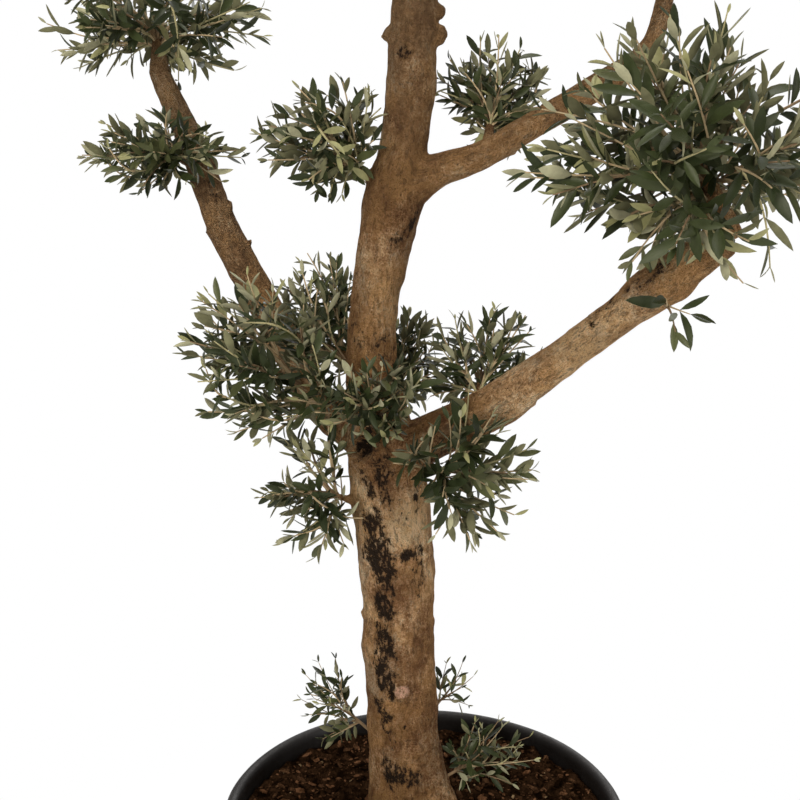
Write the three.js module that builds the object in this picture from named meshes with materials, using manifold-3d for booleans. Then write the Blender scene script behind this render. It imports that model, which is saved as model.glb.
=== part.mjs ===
// A potted olive tree, trained as a bare trunk and boughs that carry separate balls of foliage.
// Millimetres, +X right, +Y back, +Z up. The origin is the middle of the pot's flat underside.

import * as THREE from "three";
import { mergeVertices } from "three/addons/utils/BufferGeometryUtils.js";
import Module from "manifold-3d";

const wasm = await Module();
wasm.setup();

// ---- driving dimensions ----

const gap = 0.3; // clearance left between neighbouring solids
const pot = {
  height: 450,
  rimRadius: 300,
  lipWidth: 15,
  lipDrop: 26,
  lipThickness: 7,
  lipEdge: 4, // how far the lip's edges are broken
  shoulderRadius: 284,
  footRadius: 236,
  footEdge: 6,
  wall: 5,
  floor: 7,
  sides: 36,
};
const soil = {
  top: 420,
  edgeRise: 6, // it lies higher against the pot's wall
  slopeWidth: 70,
  slopeDrop: 2,
  flatRadius: 92,
  bumps: 5,
  bumpWaves: [0.055, 0.048],
};

// A limb's stations run along its centreline: [right, back, up, radius].
const limbs = {
  trunk: {
    sides: 12,
    steps: 28,
    stations: [
      [-26, 12, soil.top + gap, 60],
      [-27, 12, 470, 54],
      [-33, 10, 600, 51],
      [-38, 6, 760, 52],
      [-46, 3, 880, 54],
      [-56, 0, 985, 53],
      [-66, 0, 1050, 42],
      [-76, 0, 1125, 35],
      [-70, 0, 1213, 33],
      [-56, 0, 1290, 36],
      [-46, 0, 1350, 38],
      [-31, 0, 1418, 32],
      [-23, 0, 1490, 31],
      [-17, 0, 1600, 29],
      [-8, 4, 1740, 24],
      [8, 4, 1880, 19],
      [12, 0, 1985, 15],
    ],
  },
  left_bough: {
    seat: [-60, 0, 1000],
    collar: 36,
    sides: 10,
    steps: 14,
    stations: [
      [-126, 36, 1034, 26],
      [-160, 62, 1066, 25],
      [-238, 120, 1195, 24],
      [-296, 160, 1295, 23],
      [-340, 196, 1405, 21],
      [-400, 262, 1520, 16],
    ],
  },
  right_low_bough: {
    seat: [-58, -2, 985],
    collar: 38,
    sides: 10,
    steps: 12,
    stations: [
      [14, -36, 1034, 31],
      [68, -68, 1068, 29],
      [116, -102, 1110, 27],
      [209, -170, 1201, 22.5],
      [290, -234, 1284, 24],
      [330, -264, 1322, 21],
    ],
  },
  right_high_bough: {
    seat: [-46, 0, 1352],
    collar: 27,
    sides: 10,
    steps: 10,
    stations: [
      [10, -10, 1386, 22],
      [66, -20, 1404, 19],
      [120, -28, 1435, 17.5],
      [220, -30, 1494, 17],
      [268, -30, 1524, 15],
    ],
  },
  right_high_riser: {
    on: "right_high_bough",
    sides: 8,
    steps: 8,
    stations: [
      [268, -30, 1524, 14.5],
      [287, -30, 1552, 12.5],
      [298, -30, 1600, 12],
      [312, -24, 1700, 11],
      [322, -22, 1790, 9],
    ],
  },
  top_left_bough: {
    seat: [-14, 1, 1650],
    collar: 20,
    sides: 8,
    steps: 7,
    stations: [
      [-44, -8, 1676, 15],
      [-108, -26, 1716, 14],
      [-176, -44, 1772, 13],
      [-222, -52, 1836, 10],
    ],
  },
  top_back_bough: {
    seat: [-16, 2, 1620],
    collar: 21,
    sides: 8,
    steps: 7,
    stations: [
      [-6, 34, 1646, 16],
      [12, 106, 1680, 15],
      [40, 196, 1716, 13],
      [58, 256, 1764, 10],
    ],
  },
  top_front_bough: {
    seat: [-6, 4, 1745],
    collar: 18,
    sides: 8,
    steps: 7,
    stations: [
      [8, -24, 1762, 13],
      [24, -96, 1784, 12],
      [34, -170, 1810, 11],
      [38, -226, 1852, 9],
    ],
  },
};

// Pruning knobs: the limb each stands on, its share of the way along, its bearing round the limb
// (0 left, 90 front, 180 right on an upright one), its radius and how far it stands out.
const knobSides = 6;
// Where a knob starts in the limb, as a share of its radius, then its outline up to its end.
const knobShape = { depth: 0.4, rootSwell: 1.25, shoulder: 0.3, top: 0.7 };
const knobs = [
  { limb: "trunk", share: 0.727, bearing: 5, radius: 11, stand: 8 },
  { limb: "trunk", share: 0.729, bearing: 172, radius: 16, stand: 15 },
  { limb: "trunk", share: 0.747, bearing: 192, radius: 12, stand: 9 },
  { limb: "left_bough", share: 0.6, bearing: 150, radius: 12, stand: 8 },
  { limb: "right_low_bough", share: 0.76, bearing: 40, radius: 15, stand: 5 },
];

// A mass of foliage: where its stem leaves its limb, the middle and half-widths of the space that it
// keeps to, its count of shoots, where those bear pairs, its count of leaves that stand out of a core
// (0 where it is airy and has no core), the size of its leaves and the seed of its twigs.
const masses = {
  foliage_left_top: {
    tipOf: "left_bough",
    centre: [-402, 268, 1590],
    reach: [176, 160, 98],
    shoots: 8,
    pairs: [],
    leaves: 26,
    leafSize: 1.1,
    seed: 11,
  },
  foliage_left_mid: {
    foot: [-336, 172, 1388],
    centre: [-378, 150, 1404],
    reach: [124, 112, 66],
    shoots: 6,
    pairs: [],
    leaves: 14,
    leafSize: 0.85,
    seed: 23,
  },
  foliage_right_low: {
    tipOf: "right_low_bough",
    centre: [288, -268, 1416],
    reach: [212, 168, 158],
    shoots: 9,
    pairs: [],
    leaves: 34,
    leafSize: 1.15,
    seed: 37,
  },
  foliage_right_spray: {
    foot: [262, -227, 1250],
    centre: [272, -284, 1240],
    reach: [58, 56, 42],
    shoots: 3,
    pairs: [0.7],
    leaves: 0,
    leafSize: 0.62,
    seed: 41,
  },
  foliage_fork_left: {
    foot: [-48, 2, 1352],
    centre: [-134, -18, 1428],
    reach: [98, 88, 84],
    shoots: 5,
    pairs: [],
    leaves: 12,
    leafSize: 0.75,
    seed: 53,
  },
  foliage_fork_right: {
    foot: [78, -16, 1412],
    centre: [92, 84, 1482],
    reach: [90, 86, 88],
    shoots: 4,
    pairs: [],
    leaves: 11,
    leafSize: 0.74,
    seed: 67,
  },
  foliage_low_left: {
    foot: [-62, -4, 1015],
    centre: [-214, -84, 1150],
    reach: [118, 92, 120],
    shoots: 6,
    pairs: [],
    leaves: 15,
    leafSize: 0.97,
    seed: 71,
  },
  foliage_low_left_back: {
    foot: [-72, 4, 1060],
    centre: [-150, 140, 1165],
    reach: [96, 78, 100],
    shoots: 4,
    pairs: [],
    leaves: 10,
    leafSize: 0.76,
    seed: 83,
  },
  foliage_low_left_under: {
    foot: [-50, 0, 905],
    centre: [-158, -30, 958],
    reach: [82, 80, 116],
    shoots: 4,
    pairs: [],
    leaves: 10,
    leafSize: 0.76,
    seed: 97,
  },
  foliage_low_right: {
    foot: [64, -64, 1066],
    centre: [80, 52, 1112],
    reach: [96, 84, 92],
    shoots: 4,
    pairs: [],
    leaves: 12,
    leafSize: 0.78,
    seed: 101,
  },
  foliage_low_right_under: {
    foot: [-50, 0, 965],
    centre: [48, -104, 1006],
    reach: [100, 78, 116],
    shoots: 4,
    pairs: [],
    leaves: 12,
    leafSize: 0.82,
    seed: 113,
  },
  foliage_low_front: {
    foot: [-66, 0, 1030],
    centre: [-66, -126, 1104],
    reach: [100, 54, 60],
    shoots: 3,
    pairs: [],
    leaves: 9,
    leafSize: 0.62,
    seed: 127,
  },
  foliage_low_back: {
    foot: [-64, 0, 1040],
    centre: [-30, 138, 1096],
    reach: [88, 72, 88],
    shoots: 4,
    pairs: [],
    leaves: 10,
    leafSize: 0.78,
    seed: 131,
  },
  foliage_right_high: {
    tipOf: "right_high_riser",
    centre: [332, -18, 1888],
    reach: [154, 150, 112],
    shoots: 7,
    pairs: [],
    leaves: 18,
    leafSize: 1.15,
    seed: 149,
  },
  foliage_crown: {
    tipOf: "trunk",
    centre: [14, 0, 2120],
    reach: [196, 186, 150],
    shoots: 9,
    pairs: [],
    leaves: 28,
    leafSize: 1.25,
    seed: 151,
  },
  foliage_top_left: {
    tipOf: "top_left_bough",
    centre: [-246, -58, 1910],
    reach: [138, 132, 96],
    shoots: 6,
    pairs: [],
    leaves: 17,
    leafSize: 1.05,
    seed: 163,
  },
  foliage_top_back: {
    tipOf: "top_back_bough",
    centre: [66, 292, 1844],
    reach: [142, 130, 98],
    shoots: 6,
    pairs: [],
    leaves: 17,
    leafSize: 1.05,
    seed: 173,
  },
  foliage_top_front: {
    tipOf: "top_front_bough",
    centre: [42, -262, 1922],
    reach: [134, 124, 92],
    shoots: 6,
    pairs: [],
    leaves: 15,
    leafSize: 1,
    seed: 181,
  },
  foliage_foot_left: {
    foot: [-30, 12, 515],
    centre: [-136, 48, 596],
    reach: [62, 62, 78],
    shoots: 4,
    pairs: [0.65],
    leaves: 0,
    leafSize: 0.66,
    seed: 193,
  },
  foliage_foot_right: {
    foot: [-30, 12, 540],
    centre: [44, 62, 612],
    reach: [42, 54, 56],
    shoots: 3,
    pairs: [0.65],
    leaves: 0,
    leafSize: 0.52,
    seed: 199,
  },
  foliage_foot_front: {
    foot: [-28, 10, 452],
    centre: [98, 0, 535],
    reach: [78, 66, 66],
    shoots: 4,
    pairs: [0.65],
    leaves: 0,
    leafSize: 0.66,
    seed: 211,
  },
};

// How a mass branches.
const growth = {
  goldenTurn: THREE.MathUtils.degToRad(137.5),
  shootsBelow: 0.7, // how far shoots spread back past the middle, as the cosine of their tilt
  leavesBelow: 0.95,
  stemFrom: 0.3, // where the first shoot leaves the stem, as a share of the way from foot to middle
  stemShare: 0.72, // where the stem ends
  stemClear: 9, // how far clear of its limb a side stem's first shoot is
  stemStep: 0.02, // the step by which a side stem's first shoot is moved clear
  stemLeast: 0.1, // the least share of the way that bears shoots
  stemWaist: 0.8,
  stemTaper: 0.5,
  tipShare: [0.48, 0.14], // a shoot's tip, as a share of the way from the middle to the edge
  lead: 0.3, // how far a shoot keeps the stem's direction before it bends to its tip
};
const twig = {
  stemRadius: 9,
  stemSides: 5,
  shootRadius: 3.8,
  tipShare: 0.6,
  steps: 2,
  bareTip: 9,
};
// Each leaf is far larger than life and stands for a spray. It reaches for the edge of the space.
const leaf = {
  length: 100,
  shortest: 0.6,
  widthShare: 0.37,
  thickness: 6,
  widest: 0.44,
  edgeShare: 0.97,
  pairSpread: 1.15,
  roll: 0.8,
  tilt: 0.45,
};
// A pad is clipped and dense, so it has a lumpy core that its shoots and leaves stand out of.
const core = { share: 0.46, lumps: 0.16, sunk: 0.75 };
const clearOf = { limb: 4, soil: 8, massShare: 0.07 };

// ---- limbs ----

const vector = (list) => new THREE.Vector3(list[0], list[1], list[2]);

// A smooth curve through the stations, sampled at equal shares of its length.
function sampleLimb(stations, steps) {
  const at = [0];
  for (let i = 1; i < stations.length; i++)
    at.push(at[i - 1] + vector(stations[i]).distanceTo(vector(stations[i - 1])));
  const slope = (i, k) => {
    const a = Math.max(i - 1, 0);
    const b = Math.min(i + 1, stations.length - 1);
    return (stations[b][k] - stations[a][k]) / (at[b] - at[a]);
  };
  const total = at[at.length - 1];
  const samples = [];
  for (let n = 0; n <= steps; n++) {
    const s = (total * n) / steps;
    let i = 0;
    while (i < stations.length - 2 && s > at[i + 1]) i++;
    const h = at[i + 1] - at[i];
    const u = (s - at[i]) / h;
    samples.push(
      [0, 1, 2, 3].map(
        (k) =>
          stations[i][k] * (1 + 2 * u) * (1 - u) ** 2 +
          slope(i, k) * h * u * (1 - u) ** 2 +
          stations[i + 1][k] * u * u * (3 - 2 * u) +
          slope(i + 1, k) * h * u * u * (u - 1),
      ),
    );
  }
  return samples;
}

// The direction of a row of samples at each one, from its neighbours.
function directions(samples) {
  return samples.map((_, i) =>
    vector(samples[Math.min(i + 1, samples.length - 1)])
      .sub(vector(samples[Math.max(i - 1, 0)]))
      .normalize(),
  );
}

// Two unit vectors square to a direction: the first lies across, as level as it can.
function across(direction) {
  const reference =
    Math.abs(direction.y) > 0.9 ? new THREE.Vector3(1, 0, 0) : new THREE.Vector3(0, 1, 0);
  const side = direction.clone().cross(reference).normalize();
  return [side, side.clone().cross(direction)];
}

// A closed tube bent along the samples. shape gives an extra share of the radius at a height and bearing.
function tube(samples, sides, { facing = null, extra = 0, shape = null } = {}) {
  const along = directions(samples);
  if (facing) along[0] = facing.clone();
  const geometry = new THREE.CylinderGeometry(1, 1, 1, sides, samples.length - 1);
  const position = geometry.getAttribute("position");
  for (let v = 0; v < position.count; v++) {
    const [x, y, z] = [position.getX(v), position.getY(v), position.getZ(v)];
    const i = Math.round((y + 0.5) * (samples.length - 1));
    const [side, front] = across(along[i]);
    const swell = shape ? shape(samples[i][2], Math.atan2(z, x)) : 1;
    const radius = (samples[i][3] + extra) * swell;
    const point = vector(samples[i]).addScaledVector(side, x * radius).addScaledVector(front, z * radius);
    position.setXYZ(v, point.x, point.y, point.z);
  }
  return solidOf(geometry);
}

// ---- between three.js geometry and solids that can be joined and cut ----

function solidOf(geometry) {
  geometry.deleteAttribute("normal");
  geometry.deleteAttribute("uv");
  const merged = mergeVertices(geometry, 1e-3);
  return new wasm.Manifold(
    new wasm.Mesh({
      numProp: 3,
      vertProperties: new Float32Array(merged.getAttribute("position").array),
      triVerts: new Uint32Array(merged.getIndex().array),
    }),
  );
}

function geometryOf(solid) {
  const mesh = solid.getMesh();
  return new THREE.BufferGeometry()
    .setAttribute("position", new THREE.BufferAttribute(mesh.vertProperties, 3))
    .setIndex(new THREE.BufferAttribute(mesh.triVerts, 1))
    .toNonIndexed();
}

const thinning = 0.15; // faces that lie this close to flat are joined

// The largest outer skin of a joined solid, so loose scraps go and sealed hollows are filled.
function largest(solid) {
  return solid
    .decompose()
    .sort((a, b) => b.volume() - a.volume())[0]
    .simplify(thinning);
}

// ---- pot and soil ----

// The pot's inside radius at a height below its lip.
const lipBottom = pot.height - pot.lipDrop;
const innerWall = (z) =>
  pot.footRadius - pot.wall + ((pot.shoulderRadius - pot.footRadius) * z) / lipBottom;

function turned(profile) {
  const outline = profile.map(([radius, z]) => new THREE.Vector2(radius, z));
  return new THREE.LatheGeometry(outline, pot.sides).rotateX(Math.PI / 2);
}

function potSolid() {
  const r = pot.rimRadius;
  const edge = pot.lipEdge;
  return solidOf(
    turned([
      [0, 0],
      [pot.footRadius - pot.footEdge, 0],
      [pot.footRadius, pot.footEdge],
      [pot.shoulderRadius, lipBottom],
      [r - edge / 2, lipBottom],
      [r, lipBottom + edge],
      [r, pot.height - edge],
      [r - edge, pot.height],
      [r - pot.lipWidth, pot.height],
      [r - pot.lipWidth - pot.lipThickness + edge / 2, pot.height - edge],
      [innerWall(lipBottom), lipBottom - pot.lipThickness],
      [innerWall(pot.floor), pot.floor],
      [0, pot.floor],
    ]),
  );
}

// The fill stands clear of the pot's wall and floor. It is level round the trunk and uneven outside that.
function soilSolid() {
  const sideAt = (z) => innerWall(z) - 2 * gap;
  const bottom = pot.floor + gap;
  const edgeTop = soil.top + soil.edgeRise;
  const slopeFoot = soil.top - soil.slopeDrop;
  const geometry = turned([
    [0, bottom],
    [sideAt(bottom), bottom],
    [sideAt(edgeTop), edgeTop],
    [sideAt(soil.top) - soil.slopeWidth, slopeFoot],
    [soil.flatRadius, soil.top],
    [0, soil.top],
  ]);
  const position = geometry.getAttribute("position");
  const [waveX, waveY] = soil.bumpWaves;
  for (let v = 0; v < position.count; v++) {
    const [x, y, z] = [position.getX(v), position.getY(v), position.getZ(v)];
    const isOutside = Math.hypot(x, y) > soil.flatRadius + 1;
    if (z < slopeFoot - 1 || !isOutside) continue;
    const wave = Math.sin(x * waveX + 1) * Math.cos(y * waveY);
    position.setZ(v, z - soil.bumps * (0.5 + 0.5 * wave));
  }
  return solidOf(geometry);
}

// ---- trunk and boughs ----

for (const limb of Object.values(limbs)) {
  limb.samples = sampleLimb(limb.stations, limb.steps);
  limb.along = directions(limb.samples);
}

// Root lobes at the foot of the trunk, gone a hand's breadth above the soil. Each has its bearing
// in degrees (0 left, 90 back, 180 right), its swell as a share of the radius and its half-width.
const rootLobes = {
  height: 85,
  places: [
    [196, 0.46, 30],
    [70, 0.16, 40],
    [318, 0.12, 34],
  ],
};
function rootFlare(z, bearing) {
  const fade = Math.exp(-(((z - soil.top) / rootLobes.height) ** 2));
  const degrees = THREE.MathUtils.radToDeg(bearing);
  let swell = 0;
  for (const [lobe, most, halfWidth] of rootLobes.places) {
    const off = THREE.MathUtils.euclideanModulo(degrees - lobe + 180, 360) - 180;
    swell += most * Math.exp(-((off / halfWidth) ** 2));
  }
  return 1 + swell * fade;
}

// A collar's middle ring: its share of the way from the trunk's middle to the bough's foot, and how
// much of the flare is left there.
const collarShape = { middle: 0.6, flare: 0.33 };

// A flared collar that belongs to the trunk and meets the foot of a bough.
function collarSolid(limb) {
  const foot = vector(limb.stations[0]).addScaledVector(limb.along[0], -gap);
  const radius = limb.stations[0][3];
  const seat = vector(limb.seat);
  const middle = seat.clone().lerp(foot, collarShape.middle);
  const rows = [
    [...foot.toArray(), radius],
    [...middle.toArray(), THREE.MathUtils.lerp(radius, limb.collar, collarShape.flare)],
    [...seat.toArray(), limb.collar],
  ];
  return tube(rows, limb.sides, { facing: limb.along[0].clone().negate() });
}

function knobSolid(knob) {
  const limb = limbs[knob.limb];
  const at = knob.share * limb.steps;
  const i = Math.floor(at);
  const [x, y, z, surface] = limb.samples[i].map((value, k) =>
    THREE.MathUtils.lerp(value, limb.samples[i + 1][k], at - i),
  );
  const [side, front] = across(limb.along[i]);
  const bearing = THREE.MathUtils.degToRad(knob.bearing);
  const out = side.clone().multiplyScalar(Math.cos(bearing)).addScaledVector(front, -Math.sin(bearing));
  const middle = new THREE.Vector3(x, y, z);
  const row = (distance, radius) => [...middle.clone().addScaledVector(out, distance).toArray(), radius];
  return tube(
    [
      row(surface * knobShape.depth, knob.radius * knobShape.rootSwell),
      row(surface + knob.stand * knobShape.shoulder, knob.radius),
      row(surface + knob.stand, knob.radius * knobShape.top),
    ],
    knobSides,
  );
}

function limbSolid(name, extra = 0) {
  const limb = limbs[name];
  const isTrunk = name === "trunk";
  const facing = isTrunk ? new THREE.Vector3(0, 0, 1) : limb.facing;
  const solid = tube(limb.samples, limb.sides, { facing, extra, shape: isTrunk ? rootFlare : null });
  const onIt = knobs.filter((knob) => knob.limb === name).map(knobSolid);
  const collars = isTrunk
    ? Object.values(limbs)
        .filter((other) => other.seat)
        .map(collarSolid)
    : [];
  return wasm.Manifold.union([solid, ...onIt, ...collars]);
}

// The riser starts on the flat end of the bough that carries it.
const carrier = limbs[limbs.right_high_riser.on];
limbs.right_high_riser.facing = carrier.along[carrier.steps];
const riserStart = vector(limbs.right_high_riser.samples[0]).addScaledVector(
  limbs.right_high_riser.facing,
  gap,
);
limbs.right_high_riser.samples[0].splice(0, 3, ...riserStart.toArray());

// ---- foliage ----

// Repeatable draws from 0 to 1.
function seededDraws(seed) {
  let state = seed * 7919;
  return () => {
    state = (state * 16807) % 2147483647;
    return state / 2147483647;
  };
}

// How far a point lies outside a row of rounded cones.
function clearance(rows, point) {
  let least = Infinity;
  for (let i = 1; i < rows.length; i++) {
    const a = vector(rows[i - 1]);
    const line = vector(rows[i]).sub(a);
    const u = THREE.MathUtils.clamp(point.clone().sub(a).dot(line) / line.lengthSq(), 0, 1);
    const radius = rows[i - 1][3] + (rows[i][3] - rows[i - 1][3]) * u;
    least = Math.min(least, point.distanceTo(a.addScaledVector(line, u)) - radius);
  }
  return least;
}

const limbRows = Object.values(limbs).map((limb) => limb.samples);
for (const limb of Object.values(limbs))
  if (limb.seat) limbRows.push([[...limb.seat, limb.collar], limb.stations[0]]);

// The stem of a mass, from its bough's tip or from inside its limb towards the middle of its space.
// Its shoots leave it between its second and its last row.
function stemOf(mass) {
  const centre = vector(mass.centre);
  const limb = mass.tipOf && limbs[mass.tipOf];
  const facing = limb ? limb.along[limb.steps] : null;
  const foot = limb
    ? vector(limb.samples[limb.steps]).addScaledVector(facing, gap)
    : vector(mass.foot);
  const radius = limb ? limb.samples[limb.steps][3] : twig.stemRadius;
  const axis = centre.clone().sub(foot).normalize();
  let share = growth.stemFrom;
  const at = (part) => foot.clone().lerp(centre, part);
  const hemmed = (point) => limbRows.some((rows) => clearance(rows, point) < growth.stemClear);
  while (!limb && share < 1 && hemmed(at(share))) share += growth.stemStep;
  const end = at(Math.max(growth.stemShare, share + growth.stemLeast));
  return {
    facing: facing || axis,
    axis,
    rows: [
      [...foot.toArray(), radius],
      [...at(share).toArray(), radius * growth.stemWaist],
      [...end.toArray(), radius * growth.stemTaper],
    ],
  };
}

for (const mass of Object.values(masses)) mass.stem = stemOf(mass);

const insideShare = (mass, point) =>
  Math.hypot(...[0, 1, 2].map((k) => (point.getComponent(k) - mass.centre[k]) / mass.reach[k]));

// True where a point is in the mass's own space and clear of every limb, other stem and the soil.
function roomFor(mass, point, needsInside) {
  const share = insideShare(mass, point);
  if (needsInside && share > 1) return false;
  if (point.z < soil.top + clearOf.soil) return false;
  for (const other of Object.values(masses))
    if (other !== mass) {
      if (insideShare(other, point) < Math.min(share, 1) + clearOf.massShare) return false;
      if (clearance(other.stem.rows, point) < clearOf.limb) return false;
    }
  return limbRows.every((rows) => clearance(rows, point) >= clearOf.limb);
}

// Directions that golden-angle turns spread over a mass, from its axis to back past its middle.
function spreadOver(mass, count, below, phase) {
  const [side, front] = across(mass.stem.axis);
  return Array.from({ length: count }, (_, k) => {
    const turn = phase + k * growth.goldenTurn;
    const lift = 1 - ((k + 0.5) / count) * (1 + below);
    const level = Math.sqrt(1 - lift * lift);
    const direction = mass.stem.axis
      .clone()
      .multiplyScalar(lift)
      .addScaledVector(side, level * Math.cos(turn))
      .addScaledVector(front, level * Math.sin(turn));
    return { direction, turn, upStem: (lift + below) / (1 + below) };
  });
}

// How far it is from a point to the edge of a mass's space along a direction.
function toEdge(mass, point, out) {
  const from = point.clone().sub(vector(mass.centre)).divide(vector(mass.reach));
  const step = out.clone().divide(vector(mass.reach));
  const [a, b, c] = [step.lengthSq(), from.dot(step), from.lengthSq() - 1];
  return (-b + Math.sqrt(Math.max(b * b - a * c, 0))) / a;
}

// Each shoot leaves the stem and bends to its tip.
function shootsOf(mass, draw) {
  const [first, last] = mass.stem.rows.slice(1).map(vector);
  return spreadOver(mass, mass.shoots, growth.shootsBelow, draw() * 2 * Math.PI)
    .map(({ direction, turn, upStem }) => {
      const share = growth.tipShare[0] + growth.tipShare[1] * draw();
      const tip = direction.multiply(vector(mass.reach)).multiplyScalar(share).add(vector(mass.centre));
      const start = first.clone().lerp(last, upStem);
      const lead = start.clone().addScaledVector(mass.stem.axis, growth.lead * start.distanceTo(tip));
      return { curve: new THREE.QuadraticBezierCurve3(start, lead, tip), turn };
    })
    .filter(({ curve }) => shootHasRoom(mass, curve));
}

// A shoot may start by its own limb, but past there it keeps clear of every limb.
function shootHasRoom(mass, curve) {
  const shares = [0.35, 0.5, 0.65, 0.8, 1];
  return shares.every((share) => roomFor(mass, curve.getPoint(share), share === 1));
}

// A leaf from its root: its middle and three half-axes. Its upper side is level before the roll.
function leafFrom(mass, root, out, roll) {
  const longest = leaf.length * mass.leafSize;
  const length = THREE.MathUtils.clamp(
    toEdge(mass, root, out) * leaf.edgeShare,
    longest * leaf.shortest,
    longest,
  );
  const wide = new THREE.Vector3(0, 0, 1).cross(out);
  if (wide.lengthSq() < 0.02) wide.set(1, 0, 0).addScaledVector(out, -out.x);
  wide.normalize().applyAxisAngle(out, roll);
  const half = length / 2;
  return {
    middle: root.clone().addScaledVector(out, half),
    out: out.clone().multiplyScalar(half),
    thick: out.clone().cross(wide).multiplyScalar(leaf.thickness / 2),
    wide: wide.multiplyScalar((longest * leaf.widthShare) / 2),
  };
}

// Two leaves that stand opposite one another on a shoot.
function pairOn(mass, { curve, turn }, share) {
  const along = curve.getTangent(share);
  const [side, front] = across(along);
  return [0, Math.PI].map((half) => {
    const out = along
      .clone()
      .addScaledVector(side, leaf.pairSpread * Math.cos(turn + half))
      .addScaledVector(front, leaf.pairSpread * Math.sin(turn + half))
      .normalize();
    return leafFrom(mass, curve.getPoint(share - half * 0.02), out, 0);
  });
}

// Leaves that stand out of the core, each tilted off the straight way out.
function leavesOnCore(mass, draw) {
  const phase = draw() * 2 * Math.PI;
  return spreadOver(mass, mass.leaves, growth.leavesBelow, phase).map(({ direction }) => {
    const outward = direction.clone().multiply(vector(mass.reach));
    const root = vector(mass.centre).addScaledVector(outward, core.share * core.sunk);
    const tilt = new THREE.Vector3(draw() - 0.5, draw() - 0.5, draw() - 0.3);
    const out = outward.normalize().addScaledVector(tilt, 2 * leaf.tilt).normalize();
    return leafFrom(mass, root, out, (2 * draw() - 1) * leaf.roll);
  });
}

function leafHasRoom(mass, { middle, out, wide }) {
  const along = (share) => middle.clone().addScaledVector(out, share);
  const points = [along(1), along(0.5), middle.clone().add(wide), middle.clone().sub(wide)];
  return points.every((point) => roomFor(mass, point, true));
}

// A closed three-sided solid through rings of three points each: two edge points and a keel. It ends
// in a tip, and starts in a root point or on a flat first ring.
function bladeSolid(rings, tip, root = null) {
  const points = [...rings.flat(), tip];
  const faces = [];
  rings.forEach((_, ring) => {
    for (let k = 0; k < 3; k++) {
      const [a, b] = [3 * ring + k, 3 * ring + ((k + 1) % 3)];
      if (ring + 1 < rings.length) faces.push([a, b, b + 3], [a, b + 3, a + 3]);
      else faces.push([a, b, 3 * rings.length]);
    }
  });
  if (root) {
    points.push(root);
    faces.push([1, 0, points.length - 1], [2, 1, points.length - 1], [0, 2, points.length - 1]);
  } else faces.push([0, 2, 1]);
  return new wasm.Manifold(
    new wasm.Mesh({
      numProp: 3,
      vertProperties: new Float32Array(points.flatMap((point) => point.toArray())),
      triVerts: new Uint32Array(faces.flat()),
    }),
  );
}

const ringAt = (middle, wide, thick) =>
  [
    [1, 0.55],
    [-1, 0.55],
    [0, -1],
  ].map(([w, t]) => middle.clone().addScaledVector(wide, w).addScaledVector(thick, t));

// A leaf is flat above and keeled below, and widest a little nearer its root.
const widestRing = ({ middle, out, wide, thick }) =>
  ringAt(middle.clone().addScaledVector(out, 2 * leaf.widest - 1), wide, thick);

function leafSolid(blade) {
  const tip = blade.middle.clone().add(blade.out);
  return bladeSolid([widestRing(blade)], tip, blade.middle.clone().sub(blade.out));
}

// A shoot and the leaf that ends it are one blade. Without room for the leaf it ends bare.
function shootSolid(curve, blade, mayBear) {
  const rings = [];
  for (let i = 0; i <= twig.steps; i++) {
    const share = i / twig.steps;
    const radius = twig.shootRadius * (1 - (1 - twig.tipShare) * share);
    const out = curve.getTangent(share);
    const wide = blade.wide.clone().addScaledVector(out, -out.dot(blade.wide)).setLength(radius);
    const thick = out.clone().cross(wide);
    rings.push(ringAt(curve.getPoint(share), wide, thick));
  }
  if (mayBear) return bladeSolid([...rings, widestRing(blade)], blade.middle.clone().add(blade.out));
  return bladeSolid(rings, curve.getPoint(1).addScaledVector(curve.getTangent(1), twig.bareTip));
}

function coreSolid(mass) {
  const geometry = new THREE.IcosahedronGeometry(1, 1);
  const position = geometry.getAttribute("position");
  for (let v = 0; v < position.count; v++) {
    const point = new THREE.Vector3().fromBufferAttribute(position, v);
    const lump = Math.sin(5 * point.x + mass.seed) * Math.cos(4 * point.y + 3 * point.z);
    point.multiply(vector(mass.reach)).multiplyScalar(core.share * (1 + core.lumps * lump));
    position.setXYZ(v, ...point.add(vector(mass.centre)).toArray());
  }
  return solidOf(geometry);
}

function massSolid(mass) {
  const draw = seededDraws(mass.seed);
  const pieces = [tube(mass.stem.rows, twig.stemSides, { facing: mass.stem.facing })];
  const blades = [];
  for (const shoot of shootsOf(mass, draw)) {
    const end = leafFrom(mass, shoot.curve.getPoint(1), shoot.curve.getTangent(1), 0);
    pieces.push(shootSolid(shoot.curve, end, leafHasRoom(mass, end)));
    for (const share of mass.pairs) blades.push(...pairOn(mass, shoot, share));
  }
  if (mass.leaves) {
    pieces.push(coreSolid(mass));
    blades.push(...leavesOnCore(mass, draw));
  }
  pieces.push(...blades.filter((blade) => leafHasRoom(mass, blade)).map(leafSolid));
  return largest(wasm.Manifold.union(pieces).subtract(grownLimbs));
}

// ---- the whole plant ----

const group = new THREE.Group();
const finishes = {
  plastic: new THREE.MeshStandardMaterial({ color: 0x1c1c1e, roughness: 0.5, metalness: 0 }),
  soil: new THREE.MeshStandardMaterial({ color: 0x2e1c13, roughness: 1, metalness: 0 }),
  bark: new THREE.MeshStandardMaterial({ color: 0x7d6248, roughness: 0.9, metalness: 0 }),
  foliage: new THREE.MeshStandardMaterial({ color: 0x3d4a33, roughness: 0.6, metalness: 0 }),
};

function addNode(name, solid, finish) {
  const mesh = new THREE.Mesh(geometryOf(solid), finishes[finish]);
  mesh.name = name;
  group.add(mesh);
}

addNode("pot", potSolid(), "plastic");
addNode("soil", soilSolid(), "soil");
for (const name of Object.keys(limbs)) addNode(name, limbSolid(name), "bark");

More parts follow.
